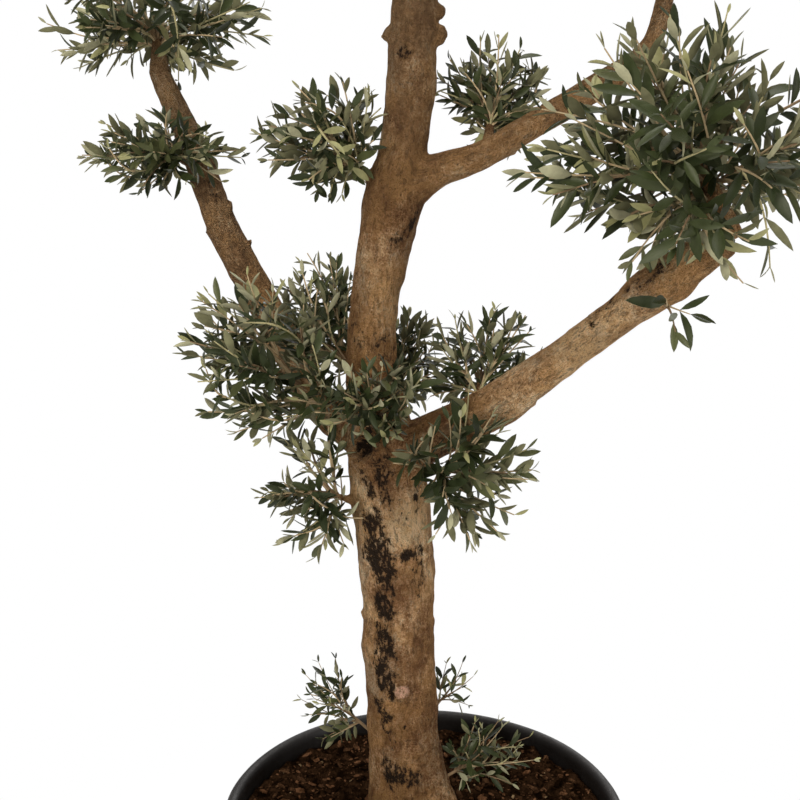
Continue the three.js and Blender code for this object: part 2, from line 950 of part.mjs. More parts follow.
// Every limb, grown by the gap: a stem that leaves a limb's side is cut back to this.
const grownLimbs = wasm.Manifold.union(Object.keys(limbs).map((name) => limbSolid(name, gap)));
for (const [name, mass] of Object.entries(masses)) addNode(name, massSolid(mass), "foliage");

export default group;
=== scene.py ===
import math

import bmesh
import bpy
import numpy as np
from mathutils import Matrix, Vector, noise


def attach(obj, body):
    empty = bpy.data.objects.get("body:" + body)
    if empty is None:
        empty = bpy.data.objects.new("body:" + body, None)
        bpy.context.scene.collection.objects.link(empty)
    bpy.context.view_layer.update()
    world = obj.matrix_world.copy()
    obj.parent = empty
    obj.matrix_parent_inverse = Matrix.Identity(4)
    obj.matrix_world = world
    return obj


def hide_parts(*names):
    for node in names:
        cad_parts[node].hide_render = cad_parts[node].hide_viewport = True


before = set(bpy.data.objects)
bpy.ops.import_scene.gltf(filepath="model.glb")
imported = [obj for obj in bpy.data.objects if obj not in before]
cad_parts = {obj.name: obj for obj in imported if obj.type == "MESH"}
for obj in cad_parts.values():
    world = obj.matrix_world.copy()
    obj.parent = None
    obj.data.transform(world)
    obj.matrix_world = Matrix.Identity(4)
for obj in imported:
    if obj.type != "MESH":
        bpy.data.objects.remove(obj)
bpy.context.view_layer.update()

mm = 0.001  # plant and pot are worked out in millimetres, as the solids are

# ---- camera, lights and floor ----


def plain(red, green, blue):
    return (red, green, blue, 1)


camera = {"place": (-0.036, -1.62, 1.45), "tiltDown": 13.1, "lens": 54, "sensor": 36}
lights = {
    "keyLight": {"place": (-1.5, -2.7, 2.4), "aim": (0, 0, 1.2), "size": 1.8, "power": 98},
    "fillLight": {"place": (2.6, -1.7, 1.7), "aim": (0, 0, 1.2), "size": 2.4, "power": 52},
    "topLight": {"place": (0.2, 0.1, 4.6), "aim": (0, 0, 1.0), "size": 2.6, "power": 105},
    "backLight": {"place": (0.8, 3.4, 2.3), "aim": (0, 0, 1.3), "size": 2.4, "power": 40},
}
backdrop = {"glow": 0.5, "shown": 1.0, "floorHalf": 9.0, "paleColour": plain(0.86, 0.86, 0.86)}
contactShadow = {"inner": 0.3, "outer": 1.1, "share": 0.55}


def addNode(tree, kind, inputs=None, **settings):
    made = tree.nodes.new("ShaderNode" + kind)
    for name, value in settings.items():
        setattr(made, name, value)
    for name, value in (inputs or {}).items():
        wire(tree, value, made.inputs[name])
    return made


def wire(tree, value, socket):
    if isinstance(value, bpy.types.NodeSocket):
        tree.links.new(value, socket)
    else:
        socket.default_value = value


def maths(tree, how, *values):
    return addNode(tree, "Math", dict(enumerate(values)), operation=how).outputs[0]


# 0 at start and 1 at end, straight between them and level outside.
def rising(tree, value, start, end):
    return addNode(tree, "MapRange", {"Value": value, "From Min": start, "From Max": end}).outputs[0]


def scaled(tree, value, low, high):
    return addNode(tree, "MapRange", {"Value": value, "To Min": low, "To Max": high}).outputs[0]


def newMaterial(name):
    made = bpy.data.materials.new(name)
    made.use_nodes = True
    made.node_tree.nodes.clear()
    place = addNode(made.node_tree, "TexCoord").outputs["Object"]
    return made, made.node_tree, place


def newObject(name, data):
    made = bpy.data.objects.new(name, data)
    bpy.context.collection.objects.link(made)
    return made


def meshFrom(bm, name):
    mesh = bpy.data.meshes.new(name)
    bm.to_mesh(mesh)
    bm.free()
    return mesh


def setCamera():
    data = bpy.data.cameras.new("camera")
    data.lens = camera["lens"]
    data.sensor_width = camera["sensor"]
    eye = newObject("camera", data)
    eye.location = camera["place"]
    eye.rotation_euler = (math.radians(90 - camera["tiltDown"]), 0, 0)
    bpy.context.scene.camera = eye


def setLights():
    for name, light in lights.items():
        data = bpy.data.lights.new(name, "AREA")
        data.size = light["size"]
        data.energy = light["power"]
        place = Vector(light["place"])
        turn = (Vector(light["aim"]) - place).to_track_quat("-Z", "Y")
        newObject(name, data).matrix_world = Matrix.LocRotScale(place, turn, None)
    world = bpy.data.worlds.new("studio")
    world.use_nodes = True
    tree = world.node_tree
    tree.nodes.clear()
    seen = addNode(tree, "LightPath").outputs["Is Camera Ray"]
    strength = scaled(tree, seen, backdrop["glow"], backdrop["shown"])
    glow = addNode(tree, "Background", {"Color": plain(1, 1, 1), "Strength": strength})
    output = addNode(tree, "OutputWorld")
    tree.links.new(glow.outputs[0], output.inputs["Surface"])
    bpy.context.scene.world = world
    bpy.context.scene.view_settings.view_transform = "Standard"


def makeFloor():
    bm = bmesh.new()
    bmesh.ops.create_grid(bm, x_segments=1, y_segments=1, size=backdrop["floorHalf"])
    floor = newObject("floor", meshFrom(bm, "floor"))
    material, tree, place = newMaterial("paleFloor")
    path = addNode(tree, "LightPath")
    distance = addNode(tree, "VectorMath", {0: place}, operation="LENGTH")
    fade = addNode(tree, "MapRange", {
        "Value": distance.outputs["Value"],
        "From Min": contactShadow["inner"],
        "From Max": contactShadow["outer"],
        "To Min": 1 - contactShadow["share"],
        "To Max": 1.0,
    }, interpolation_type="SMOOTHSTEP")
    seen = maths(tree, "MULTIPLY", path.outputs["Is Camera Ray"], fade.outputs[0])
    pale = addNode(tree, "BsdfDiffuse", {"Color": backdrop["paleColour"]})
    white = addNode(tree, "Emission", {"Color": plain(1, 1, 1), "Strength": backdrop["shown"]})
    mix = addNode(tree, "MixShader", {0: seen, 1: pale.outputs[0], 2: white.outputs[0]})
    output = addNode(tree, "OutputMaterial")
    tree.links.new(mix.outputs[0], output.inputs["Surface"])
    floor.data.materials.append(material)


setCamera()
setLights()
makeFloor()
print("camera, lights and floor are set")

# ---- shared shader effects ----


# Every effect takes a place, a scale and one number of its own, and gives a mask from 0 to 1.
def newEffect(name, own):
    tree = bpy.data.node_groups.new(name, "ShaderNodeTree")
    for label, kind in (("Vector", "Vector"), ("Scale", "Float"), (own, "Float")):
        tree.interface.new_socket(label, in_out="INPUT", socket_type="NodeSocket" + kind)
    tree.interface.new_socket("Mask", in_out="OUTPUT", socket_type="NodeSocketFloat")
    return tree, tree.nodes.new("NodeGroupInput").outputs, tree.nodes.new("NodeGroupOutput").inputs


# Noise at an effect's own place and scale.
def noiseOf(tree, given, **looks):
    return addNode(tree, "TexNoise", {"Vector": given["Vector"], "Scale": given["Scale"], **looks}).outputs


# Soft cloudy patches: Scale in patches a metre, Contrast 0 to 1.
def makeClouds():
    tree, given, result = newEffect("clouds", "Contrast")
    cloud = noiseOf(tree, given, Detail=3.0, Roughness=0.6)["Fac"]
    low = maths(tree, "MULTIPLY", given["Contrast"], 0.46)
    high = maths(tree, "SUBTRACT", 1.0, low)
    wire(tree, rising(tree, cloud, low, high), result["Mask"])
    return tree


# Small ragged flecks: Share is roughly how much of the surface they cover.
def makeFlecks():
    tree, given, result = newEffect("flecks", "Share")
    grain = noiseOf(tree, given, Detail=2.0, Roughness=0.7, Distortion=0.4)["Fac"]
    above = maths(tree, "SUBTRACT", grain, scaled(tree, given["Share"], 0.68, 0.34))
    wire(tree, rising(tree, above, -0.02, 0.06), result["Mask"])
    return tree


# Fine grain on several scales at once: Detail is how many.
def makeGrit():
    tree, given, result = newEffect("grit", "Detail")
    grain = noiseOf(tree, given, Detail=given["Detail"], Roughness=0.72)["Fac"]
    wire(tree, rising(tree, grain, 0.27, 0.73), result["Mask"])
    return tree


# A net of wandering cracks: 1 in a crack, Width as a share of a plate.
def makeCracks():
    tree, given, result = newEffect("cracks", "Width")
    wander = noiseOf(tree, given, Detail=3.0)["Color"]
    size = maths(tree, "DIVIDE", 1.4, given["Scale"])
    off = addNode(tree, "VectorMath", {0: wander, "Scale": size}, operation="SCALE")
    moved = addNode(tree, "VectorMath", {0: given["Vector"], 1: off.outputs[0]}, operation="ADD").outputs[0]
    where = {"Vector": moved, "Scale": given["Scale"]}
    plates = addNode(tree, "TexVoronoi", where, feature="DISTANCE_TO_EDGE")
    wire(tree, rising(tree, plates.outputs["Distance"], given["Width"], 0.0), result["Mask"])
    return tree


effects = {"clouds": makeClouds(), "flecks": makeFlecks(), "grit": makeGrit(), "cracks": makeCracks()}


# An effect's mask at a place: its scale comes next, then the number that is its own.
def effect(tree, name, place, scale, own):
    made = tree.nodes.new("ShaderNodeGroup")
    made.node_tree = effects[name]
    for socket, value in zip(made.inputs, (place, scale, own)):
        wire(tree, value, socket)
    return made.outputs["Mask"]


# The node has sockets for numbers and vectors too: 6, 7 and 2 are those for colours.
def mixed(tree, factor, a, b):
    return addNode(tree, "Mix", {0: factor, 6: a, 7: b}, data_type="RGBA").outputs[2]


# A colour laid over another where a mask says, and at most so strongly.
def laidOver(tree, base, colour, mask, most):
    return mixed(tree, scaled(tree, mask, 0.0, most), base, colour)


def shade(colour, share):
    return plain(*(min(part * share, 1) for part in colour[:3]))


def ramped(tree, value, stops):
    made = addNode(tree, "ValToRGB", {"Fac": value})
    elements = made.color_ramp.elements
    while len(elements) < len(stops):
        elements.new(0.5)
    for element, (place, colour) in zip(elements, stops):
        element.position = place
        element.color = colour
    return made.outputs["Color"]


# The sum of masks, each with its own weight, about its middle of 0.5.
def blended(tree, parts):
    total = 0.5
    for mask, weight in parts:
        total = maths(tree, "MULTIPLY_ADD", maths(tree, "SUBTRACT", mask, 0.5), weight, total)
    return total


def finished(tree, inputs, bumps=()):
    shader = addNode(tree, "BsdfPrincipled", inputs)
    normal = None
    for height, distance, strength in bumps:
        bump = addNode(tree, "Bump", {"Height": height, "Distance": distance, "Strength": strength})
        if normal:
            tree.links.new(normal, bump.inputs["Normal"])
        normal = bump.outputs["Normal"]
    if normal:
        tree.links.new(normal, shader.inputs["Normal"])
    output = addNode(tree, "OutputMaterial")
    tree.links.new(shader.outputs[0], output.inputs["Surface"])


def newPiece(name, mesh, materials, nodes):
    piece = newObject(name, mesh)
    for material in materials:
        mesh.materials.append(material)
    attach(piece, "root")
    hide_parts(*nodes)


# ---- pot ----

pot = {
    "steps": 144,
    # Outline of the wall, [radius, height], from the middle of the underside round to the inside.
    "outside": [
        [0, 3], [188, 3], [193, 0], [230, 0], [234, 1.4], [236, 5], [238.2, 16], [240.6, 36],
        [253.2, 148], [255.6, 151], [256.4, 160], [255.4, 166], [272.6, 318], [275.4, 321], [276.4, 330],
        [275.6, 336], [284, 420], [286, 423], [296, 424], [299, 425.5], [300, 429], [300, 441],
        [299.2, 445.4], [296.6, 448.8], [293, 450], [289, 449.6], [285.4, 447.6], [283, 443.6],
        [281.4, 437], [278.6, 418], [235.6, 36], [233.2, 16], [231.8, 7], [0, 7],
    ],
    "holes": 8,
    "holeSteps": 4,
    "holeBand": [16, 36],
    "holeOutside": 200,
    "waver": 0.7,
    "waverAbove": 300,
    "sharpAngle": 42,
    # Where the inner wall over the compost is stained and darkened with painted shade, and where the lip is
    # worn and paler with a painted highlight, in metres.
    "innerRadius": [0.2867, 0.2828],
    "stainAndShadeHeight": [0.4, 0.41],
    "lipWearAndHighlightHeight": [0.436, 0.448],
}
plasticColours = {
    "dark": plain(0.0065, 0.0058, 0.0052),
    "light": plain(0.0145, 0.0135, 0.0128),
    "dust": plain(0.07, 0.056, 0.044),
    "scuff": plain(0.08, 0.074, 0.07),
    "lip": plain(0.034, 0.03, 0.027),
    "stainAndShade": plain(0.0045, 0.0028, 0.0018),
}


def spun(profile, steps):
    bm = bmesh.new()
    points = [bm.verts.new((radius * mm, 0, height * mm)) for radius, height in profile]
    edges = [bm.edges.new(pair) for pair in zip(points, points[1:])]
    bmesh.ops.spin(
        bm, geom=points + edges, cent=(0, 0, 0), axis=(0, 0, 1), dvec=(0, 0, 0),
        angle=2 * math.pi, steps=steps, use_merge=True, use_duplicate=False,
    )
    bmesh.ops.remove_doubles(bm, verts=bm.verts[:], dist=1e-6)
    bmesh.ops.recalc_face_normals(bm, faces=bm.faces[:])
    return bm


# Drain holes round the foot: matching faces of both walls go, and their edges are bridged.
def cutDrainHoles(bm):
    low, high = (height * mm for height in pot["holeBand"])
    half = pot["holeSteps"] * math.pi / pot["steps"]
    holeOutside = pot["holeOutside"] * mm
    for hole in range(pot["holes"]):
        middle = (hole + 0.5) * 2 * math.pi / pot["holes"]
        faces = []
        for face in bm.faces:
            at = face.calc_center_median()
            turn = (math.atan2(at.y, at.x) - middle + math.pi) % (2 * math.pi) - math.pi
            if low < at.z < high and abs(turn) < half and at.xy.length > holeOutside:
                faces.append(face)
        bmesh.ops.delete(bm, geom=faces, context="FACES")
        rim = [edge for edge in bm.edges if edge.is_boundary]
        bmesh.ops.bridge_loops(bm, edges=rim)


def makePlastic():
    material, tree, place = newMaterial("blackPlastic")
    cloud = effect(tree, "clouds", place, 14.0, 0.8)
    dust = effect(tree, "flecks", place, 260.0, 0.3)
    upright = addNode(tree, "Mapping", {"Vector": place, "Scale": (1.0, 1.0, 0.15)}).outputs[0]
    scuffs = effect(tree, "flecks", upright, 60.0, 0.22)
    parted = addNode(tree, "SeparateXYZ", {0: place}).outputs
    level = addNode(tree, "CombineXYZ", {"X": parted["X"], "Y": parted["Y"]}).outputs[0]
    radius = addNode(tree, "VectorMath", {0: level}, operation="LENGTH").outputs["Value"]
    inner = rising(tree, radius, *pot["innerRadius"])
    # Over the compost the inner wall is darker, partly from soil stain and partly as painted shade.
    stainedAndShaded = maths(tree, "MULTIPLY", inner, rising(tree, parted["Z"], *pot["stainAndShadeHeight"]))
    # The top of the lip is paler, partly from wear and partly as a painted highlight.
    lip = rising(tree, parted["Z"], *pot["lipWearAndHighlightHeight"])
    base = mixed(tree, cloud, plasticColours["dark"], plasticColours["light"])
    for name, mask, most in (
        ("dust", dust, 0.26), ("scuff", scuffs, 0.14), ("lip", lip, 0.5), ("stainAndShade", stainedAndShaded, 0.85),
    ):
        base = laidOver(tree, base, plasticColours[name], mask, most)
    finished(tree, {
        "Base Color": base,
        "Roughness": scaled(tree, cloud, 0.36, 0.56),
        "Specular IOR Level": 0.18,
    }, [(dust, 0.0003, 0.4), (cloud, 0.002, 0.3)])
    return material


def makePot():
    bm = spun(pot["outside"], pot["steps"])
    cutDrainHoles(bm)
    for vert in bm.verts:  # a soft plastic pot is never quite round at its mouth
        if vert.co.z > pot["waverAbove"] * mm:
            turn = math.atan2(vert.co.y, vert.co.x)
            inward = pot["waver"] * mm * (1 + math.sin(3 * turn + 0.6) * math.sin(5 * turn))
            vert.co.xy -= vert.co.xy.normalized() * inward
    bmesh.ops.recalc_face_normals(bm, faces=bm.faces[:])
    mesh = meshFrom(bm, "pot")
    mesh.shade_smooth()
    mesh.set_sharp_from_angle(angle=math.radians(pot["sharpAngle"]))
    newPiece("nurseryPot", mesh, [makePlastic()], ["pot"])


makePot()
print("pot is made")

# ---- limbs: the same stations as the solids, [right, back, up, radius] ----

gap = 0.3
soilTop = 420
limbs = {
    "trunk": {
        "steps": 28,
        "stations": [
            [-26, 12, 420.3, 60], [-27, 12, 470, 54], [-33, 10, 600, 51], [-38, 6, 760, 52],
            [-46, 3, 880, 54], [-56, 0, 985, 53], [-66, 0, 1050, 42], [-76, 0, 1125, 35],
            [-70, 0, 1213, 33], [-56, 0, 1290, 36], [-46, 0, 1350, 38], [-31, 0, 1418, 32],
            [-23, 0, 1490, 31], [-17, 0, 1600, 29], [-8, 4, 1740, 24], [8, 4, 1880, 19],
            [12, 0, 1985, 15],
        ],
    },
    "left_bough": {
        "seat": [-60, 0, 1000], "collar": 36, "steps": 14,
        "stations": [
            [-126, 36, 1034, 26], [-160, 62, 1066, 25], [-238, 120, 1195, 24], [-296, 160, 1295, 23],
            [-340, 196, 1405, 21], [-400, 262, 1520, 16],
        ],
    },
    "right_low_bough": {
        "seat": [-58, -2, 985], "collar": 38, "steps": 12,
        "stations": [
            [14, -36, 1034, 31], [68, -68, 1068, 29], [116, -102, 1110, 27], [209, -170, 1201, 22.5],
            [290, -234, 1284, 24], [330, -264, 1322, 21],
        ],
    },
    "right_high_bough": {
        "seat": [-46, 0, 1352], "collar": 27, "steps": 10,
        "stations": [
            [10, -10, 1386, 22], [66, -20, 1404, 19], [120, -28, 1435, 17.5], [220, -30, 1494, 17],
            [268, -30, 1524, 15],
        ],
    },
    "right_high_riser": {
        "on": "right_high_bough", "steps": 8,
        "stations": [
            [268, -30, 1524, 14.5], [287, -30, 1552, 12.5], [298, -30, 1600, 12], [312, -24, 1700, 11],
            [322, -22, 1790, 9],
        ],
    },
    "top_left_bough": {
        "seat": [-14, 1, 1650], "collar": 20, "steps": 7,
        "stations": [
            [-44, -8, 1676, 15], [-108, -26, 1716, 14], [-176, -44, 1772, 13], [-222, -52, 1836, 10],
        ],
    },
    "top_back_bough": {
        "seat": [-16, 2, 1620], "collar": 21, "steps": 7,
        "stations": [[-6, 34, 1646, 16], [12, 106, 1680, 15], [40, 196, 1716, 13], [58, 256, 1764, 10]],
    },
    "top_front_bough": {
        "seat": [-6, 4, 1745], "collar": 18, "steps": 7,
        "stations": [[8, -24, 1762, 13], [24, -96, 1784, 12], [34, -170, 1810, 11], [38, -226, 1852, 9]],
    },
}


def unit(vectors):
    return vectors / np.linalg.norm(vectors, axis=-1, keepdims=True)


def sampleLimb(stations, steps):
    rows = np.array(stations, float)
    last = len(rows) - 1
    at = np.append(0, np.cumsum(np.linalg.norm(np.diff(rows[:, :3], axis=0), axis=1)))
    before = np.maximum(np.arange(last + 1) - 1, 0)
    after = np.minimum(np.arange(last + 1) + 1, last)
    slopes = (rows[after] - rows[before]) / (at[after] - at[before])[:, None]
    along = np.linspace(0, at[-1], steps + 1)
    i = np.clip(np.searchsorted(at, along) - 1, 0, last - 1)
    h = (at[i + 1] - at[i])[:, None]
    u = (along - at[i])[:, None] / h
    return (
        rows[i] * (1 + 2 * u) * (1 - u) ** 2
        + slopes[i] * h * u * (1 - u) ** 2
        + rows[i + 1] * u * u * (3 - 2 * u)
        + slopes[i + 1] * h * u * u * (u - 1)
    )


def directionsOf(points):
    ahead = np.append(points[1:, :3], points[-1:, :3], axis=0)
    behind = np.append(points[:1, :3], points[:-1, :3], axis=0)
    return unit(ahead - behind)


# Two unit vectors square to a direction: the first lies across, as level as it can.
def across(direction):
    reference = np.array([1.0, 0, 0]) if abs(direction[1]) > 0.9 else np.array([0, 1.0, 0])
    side = unit(np.cross(direction, reference))
    return side, np.cross(side, direction)


for limb in limbs.values():
    limb["samples"] = sampleLimb(limb["stations"], limb["steps"])
    limb["along"] = directionsOf(limb["samples"])

carrier = limbs[limbs["right_high_riser"]["on"]]
limbs["right_high_riser"]["samples"][0, :3] += carrier["along"][-1] * gap
limbRows = [limb["samples"] for limb in limbs.values()]
limbRows += [
    np.array([[*limb["seat"], limb["collar"]], limb["stations"][0]], float)
    for limb in limbs.values() if "seat" in limb
]


# How far points lie outside a row of rounded cones, and the nearest points of its centreline.
def clearance(rows, points):
    least = np.full(len(points), np.inf)
    nearest = np.zeros((len(points), 3))
    for a, b in zip(rows, rows[1:]):
        line = b[:3] - a[:3]
        u = np.clip((points - a[:3]) @ line / (line @ line), 0, 1)
        middle = a[:3] + u[:, None] * line
        outside = np.linalg.norm(points - middle, axis=1) - (a[3] + (b[3] - a[3]) * u)
        closer = outside < least
        least[closer] = outside[closer]
        nearest[closer] = middle[closer]
    return least, nearest


# ---- where the foliage masses are: as the solids have them ----

masses = {
    "left_top": {
        "tipOf": "left_bough", "centre": [-402, 268, 1590], "reach": [176, 160, 98],
        "shoots": 8, "leafLength": 36, "seed": 11, "fullness": 0.8,
        "longTips": [
            [-571, 263, 1592], [-564, 263, 1551], [-229, 263, 1572], [-243, 263, 1614],
            [-531, 263, 1523], [-284, 263, 1522], [-485, 263, 1617], [-415, 263, 1513],
        ],
    },
    "left_mid": {
        "foot": [-336, 172, 1388], "centre": [-378, 150, 1404], "reach": [124, 112, 66],
        "shoots": 6, "leafLength": 33, "seed": 23,
        "longTips": [
            [-501, 145, 1398], [-467, 145, 1450], [-419, 146, 1342], [-262, 145, 1409],
            [-379, 145, 1468], [-286, 145, 1360],
        ],
    },
    "right_low": {
        "tipOf": "right_low_bough", "centre": [288, -268, 1416], "reach": [212, 168, 158],
        "shoots": 9, "leafLength": 40, "seed": 37, "fullness": 0.8,
        "longTips": [
            [99, -308, 1396], [122, -308, 1420], [343, -308, 1271], [218, -308, 1300], [369, -308, 1293],
            [179, -308, 1524], [202, -308, 1551], [244, -308, 1565], [280, -308, 1313],
            [150, -308, 1451], [306, -308, 1561], [224, -308, 1351],
        ],
    },
    "right_spray": {
        "foot": [262, -227, 1250], "centre": [272, -284, 1240], "reach": [58, 56, 42],
        "shoots": 3, "airy": 0.45, "apart": 1, "lastPairs": 2, "facing": [0.1, -0.9, 0.35], "sideTwigs": [],
        "leafLength": 44, "seed": 41,
    },
    "fork_left": {
        "foot": [-48, 2, 1352], "centre": [-134, -18, 1428], "reach": [98, 88, 84],
        "shoots": 5, "leafLength": 32, "seed": 53, "fullness": 0.66,
        "longTips": [
            [-221, -23, 1433], [-208, -23, 1400], [-165, -23, 1489], [-107, -23, 1506],
            [-109, -23, 1347], [-73, -22, 1362], [-144, -23, 1361], [-68, -23, 1490],
        ],
    },
    "fork_right": {
        "foot": [78, -16, 1412], "centre": [92, 84, 1482], "reach": [90, 86, 88],
        "shoots": 4, "leafLength": 32, "seed": 67, "fullness": 1.34,
        "longTips": [
            [160, 79, 1507], [73, 79, 1559], [127, 79, 1544], [154, 79, 1464], [32, 79, 1531],
            [116, 79, 1424], [19, 79, 1484],
        ],
    },
    "low_left": {
        "foot": [-62, -4, 1015], "centre": [-214, -84, 1150], "reach": [118, 92, 120],
        "shoots": 6, "leafLength": 33, "seed": 71, "fullness": 0.76,
        "longTips": [
            [-289, -88, 1242], [-295, -89, 1228], [-314, -89, 1155], [-288, -89, 1078],
            [-258, -88, 1039], [-218, -89, 1030], [-288, -89, 1187], [-233, -89, 1267],
        ],
    },
    "low_left_back": {
        "foot": [-72, 4, 1060], "centre": [-150, 140, 1165], "reach": [96, 78, 100],
        "shoots": 4, "leafLength": 31, "seed": 83,
        "longTips": [
            [-138, 135, 1258], [-182, 135, 1249], [-109, 135, 1222], [-117, 135, 1193],
            [-125, 135, 1125],
        ],
    },
    "low_left_under": {
        "foot": [-50, 0, 905], "centre": [-158, -30, 958], "reach": [82, 80, 116],
        "shoots": 4, "leafLength": 33, "seed": 97, "fullness": 0.35,
        "longTips": [
            [-218, -35, 951], [-198, -35, 878], [-151, -35, 848], [-113, -35, 873], [-173, -35, 1011],
            [-188, -35, 925],
        ],
    },
    "low_right": {
        "foot": [64, -64, 1066], "centre": [80, 52, 1112], "reach": [96, 84, 92],
        "shoots": 4, "leafLength": 33, "seed": 101, "fullness": 0.68,
        "longTips": [
            [156, 48, 1168], [100, 47, 1202], [134, 47, 1188], [10, 47, 1174], [173, 47, 1120],
            [41, 47, 1180],
        ],
    },
    "low_right_under": {
        "foot": [-50, 0, 965], "centre": [48, -104, 1006], "reach": [100, 78, 116],
        "shoots": 4, "leafLength": 38, "seed": 113, "fullness": 0.56,
        "longTips": [
            [124, -119, 936], [99, -117, 908], [142, -119, 1039], [5, -118, 903], [36, -119, 966],
            [134, -119, 994], [56, -119, 911], [40, -150, 1095], [84, -140, 1090], [4, -148, 1080],
        ],
    },
    "low_front": {
        "foot": [-66, 0, 1030], "centre": [-66, -126, 1104], "reach": [100, 54, 60],
        "shoots": 3, "leafLength": 37, "seed": 127,
        "longTips": [
            [-139, -146, 1126], [-105, -146, 1152], [-56, -144, 1160], [-125, -146, 1074],
            [5, -144, 1141], [-36, -146, 1055], [-87, -146, 1061],
        ],
    },
    "low_back": {
        "foot": [-64, 0, 1040], "centre": [-30, 138, 1096], "reach": [88, 72, 88],
        "shoots": 4, "leafLength": 33, "seed": 131,
        "longTips": [
            [-21, 134, 1183], [-29, 133, 1184], [-6, 133, 1148],
        ],
    },
    "right_high": {
        "tipOf": "right_high_riser", "centre": [332, -18, 1888], "reach": [154, 150, 112],
        "shoots": 7, "leafLength": 38, "seed": 149,
    },
    "crown": {
        "tipOf": "trunk", "centre": [14, 0, 2120], "reach": [196, 186, 150],
        "shoots": 9, "leafLength": 40, "seed": 151,
    },
    "top_left": {
        "tipOf": "top_left_bough", "centre": [-246, -58, 1910], "reach": [138, 132, 96],
        "shoots": 6, "leafLength": 38, "seed": 163,
    },
    "top_back": {
        "tipOf": "top_back_bough", "centre": [66, 292, 1844], "reach": [142, 130, 98],
        "shoots": 6, "leafLength": 38, "seed": 173,
    },
    "top_front": {
        "tipOf": "top_front_bough", "centre": [42, -262, 1922], "reach": [134, 124, 92],
        "shoots": 6, "leafLength": 38, "seed": 181,
    },
    "foot_left": {
        "foot": [-30, 12, 515], "centre": [-136, 48, 596], "reach": [62, 62, 78],
        "shoots": 4, "airy": 0.34, "apart": 2.3, "sideTwigs": [0.45], "leafLength": 24, "seed": 193,
        "tones": "sprig",
        "longTips": [
            [-184, 43, 645], [-161, 44, 667], [-132, 44, 674], [-157, 43, 523], [-184, 43, 598],
            [-120, 43, 548],
        ],
    },
    "foot_right": {
        "foot": [-30, 12, 540], "centre": [44, 62, 612], "reach": [42, 54, 56],
        "shoots": 3, "airy": 0.34, "apart": 2.0, "sideTwigs": [], "leafLength": 24, "seed": 199,
        "tones": "sprig",
        "longTips": [
            [76, 57, 630], [59, 57, 653], [34, 57, 650], [68, 57, 582],
        ],
    },
    "foot_front": {
        "foot": [-28, 10, 452], "centre": [98, 0, 535], "reach": [78, 66, 66],
        "shoots": 4, "airy": 0.25, "apart": 2.6, "sideTwigs": [0.5], "leafLength": 27, "seed": 211,
        "tones": "shadedSprig",
        "longTips": [
            [164, -9, 569], [138, -8, 479], [110, -10, 599], [71, -9, 596], [59, -9, 479],
            [162, -10, 528], [41, -10, 552],
        ],
    },
}
growth = {
    "goldenTurn": math.radians(137.5),
    "shootsBelow": 0.7,
    "stemFrom": 0.3,  # the stem's middle, or as much further out as it takes to be clear of the limbs
    "stemStep": 0.02,
    "stemShare": 0.72,
    "stemLeast": 0.1,
    "stemClear": 9,
    "stemRadius": 9,
    "stemWaist": 0.8,
    "stemTaper": 0.5,
    "tested": [0.35, 0.5, 0.65, 0.8, 1],
    "tipShare": [0.48, 0.14],
    "lead": 0.3,
}
clearOf = {"limb": 4, "soil": 8, "massShare": 0.07}


def seededDraws(seed):
    state = seed * 7919
    while True:
        state = (state * 16807) % 2147483647
        yield state / 2147483647


def stemOf(mass):
    centre = np.array(mass["centre"], float)
    if "tipOf" in mass:
        limb = limbs[mass["tipOf"]]
        facing = limb["along"][-1]
        foot = limb["samples"][-1, :3] + facing * gap
        radius = limb["samples"][-1, 3]
    else:
        foot = np.array(mass["foot"], float)
        radius = growth["stemRadius"]
    axis = unit(centre - foot)
    share = growth["stemFrom"]
    while "foot" in mass and share < 1:
        point = (foot + (centre - foot) * share)[None]
        if min(clearance(rows, point)[0][0] for rows in limbRows) >= growth["stemClear"]:
            break
        share += growth["stemStep"]
    end = max(growth["stemShare"], share + growth["stemLeast"])
    rows = [
        [*foot, radius],
        [*(foot + (centre - foot) * share), radius * growth["stemWaist"]],
        [*(foot + (centre - foot) * end), radius * growth["stemTaper"]],
    ]
    return {"axis": axis, "rows": np.array(rows)}


for mass in masses.values():
    mass["middle"] = np.array(mass["centre"], float)
    mass["spread"] = np.array(mass["reach"], float)
    mass["stem"] = stemOf(mass)


def insideShare(mass, points):
    return np.linalg.norm((points - mass["middle"]) / mass["spread"], axis=1)


# True where a point is in the mass's own space and clear of every limb, other stem and the soil.
def roomFor(mass, points, furthest, limbClear=clearOf["limb"], shareClear=clearOf["massShare"]):
    share = insideShare(mass, points)
    room = (share <= furthest) & (points[:, 2] >= soilTop + clearOf["soil"])
    for other in masses.values():
        if other is not mass:
            room &= insideShare(other, points) >= np.minimum(share, 1) + shareClear
            room &= clearance(other["stem"]["rows"], points)[0] >= limbClear
    for rows in limbRows:
        room &= clearance(rows, points)[0] >= limbClear
    return room


# Directions that golden-angle turns spread over a mass, from its axis to back past its middle.
def spreadOver(mass, count, below, phase):
    side, front = across(mass["stem"]["axis"])
    step = np.arange(count)
    turn = (phase + step * growth["goldenTurn"])[:, None]
    lift = (1 - ((step + 0.5) / count) * (1 + below))[:, None]
    level = np.sqrt(1 - lift * lift)
    outward = mass["stem"]["axis"] * lift + side * level * np.cos(turn) + front * level * np.sin(turn)
    return outward, (lift + below) / (1 + below)


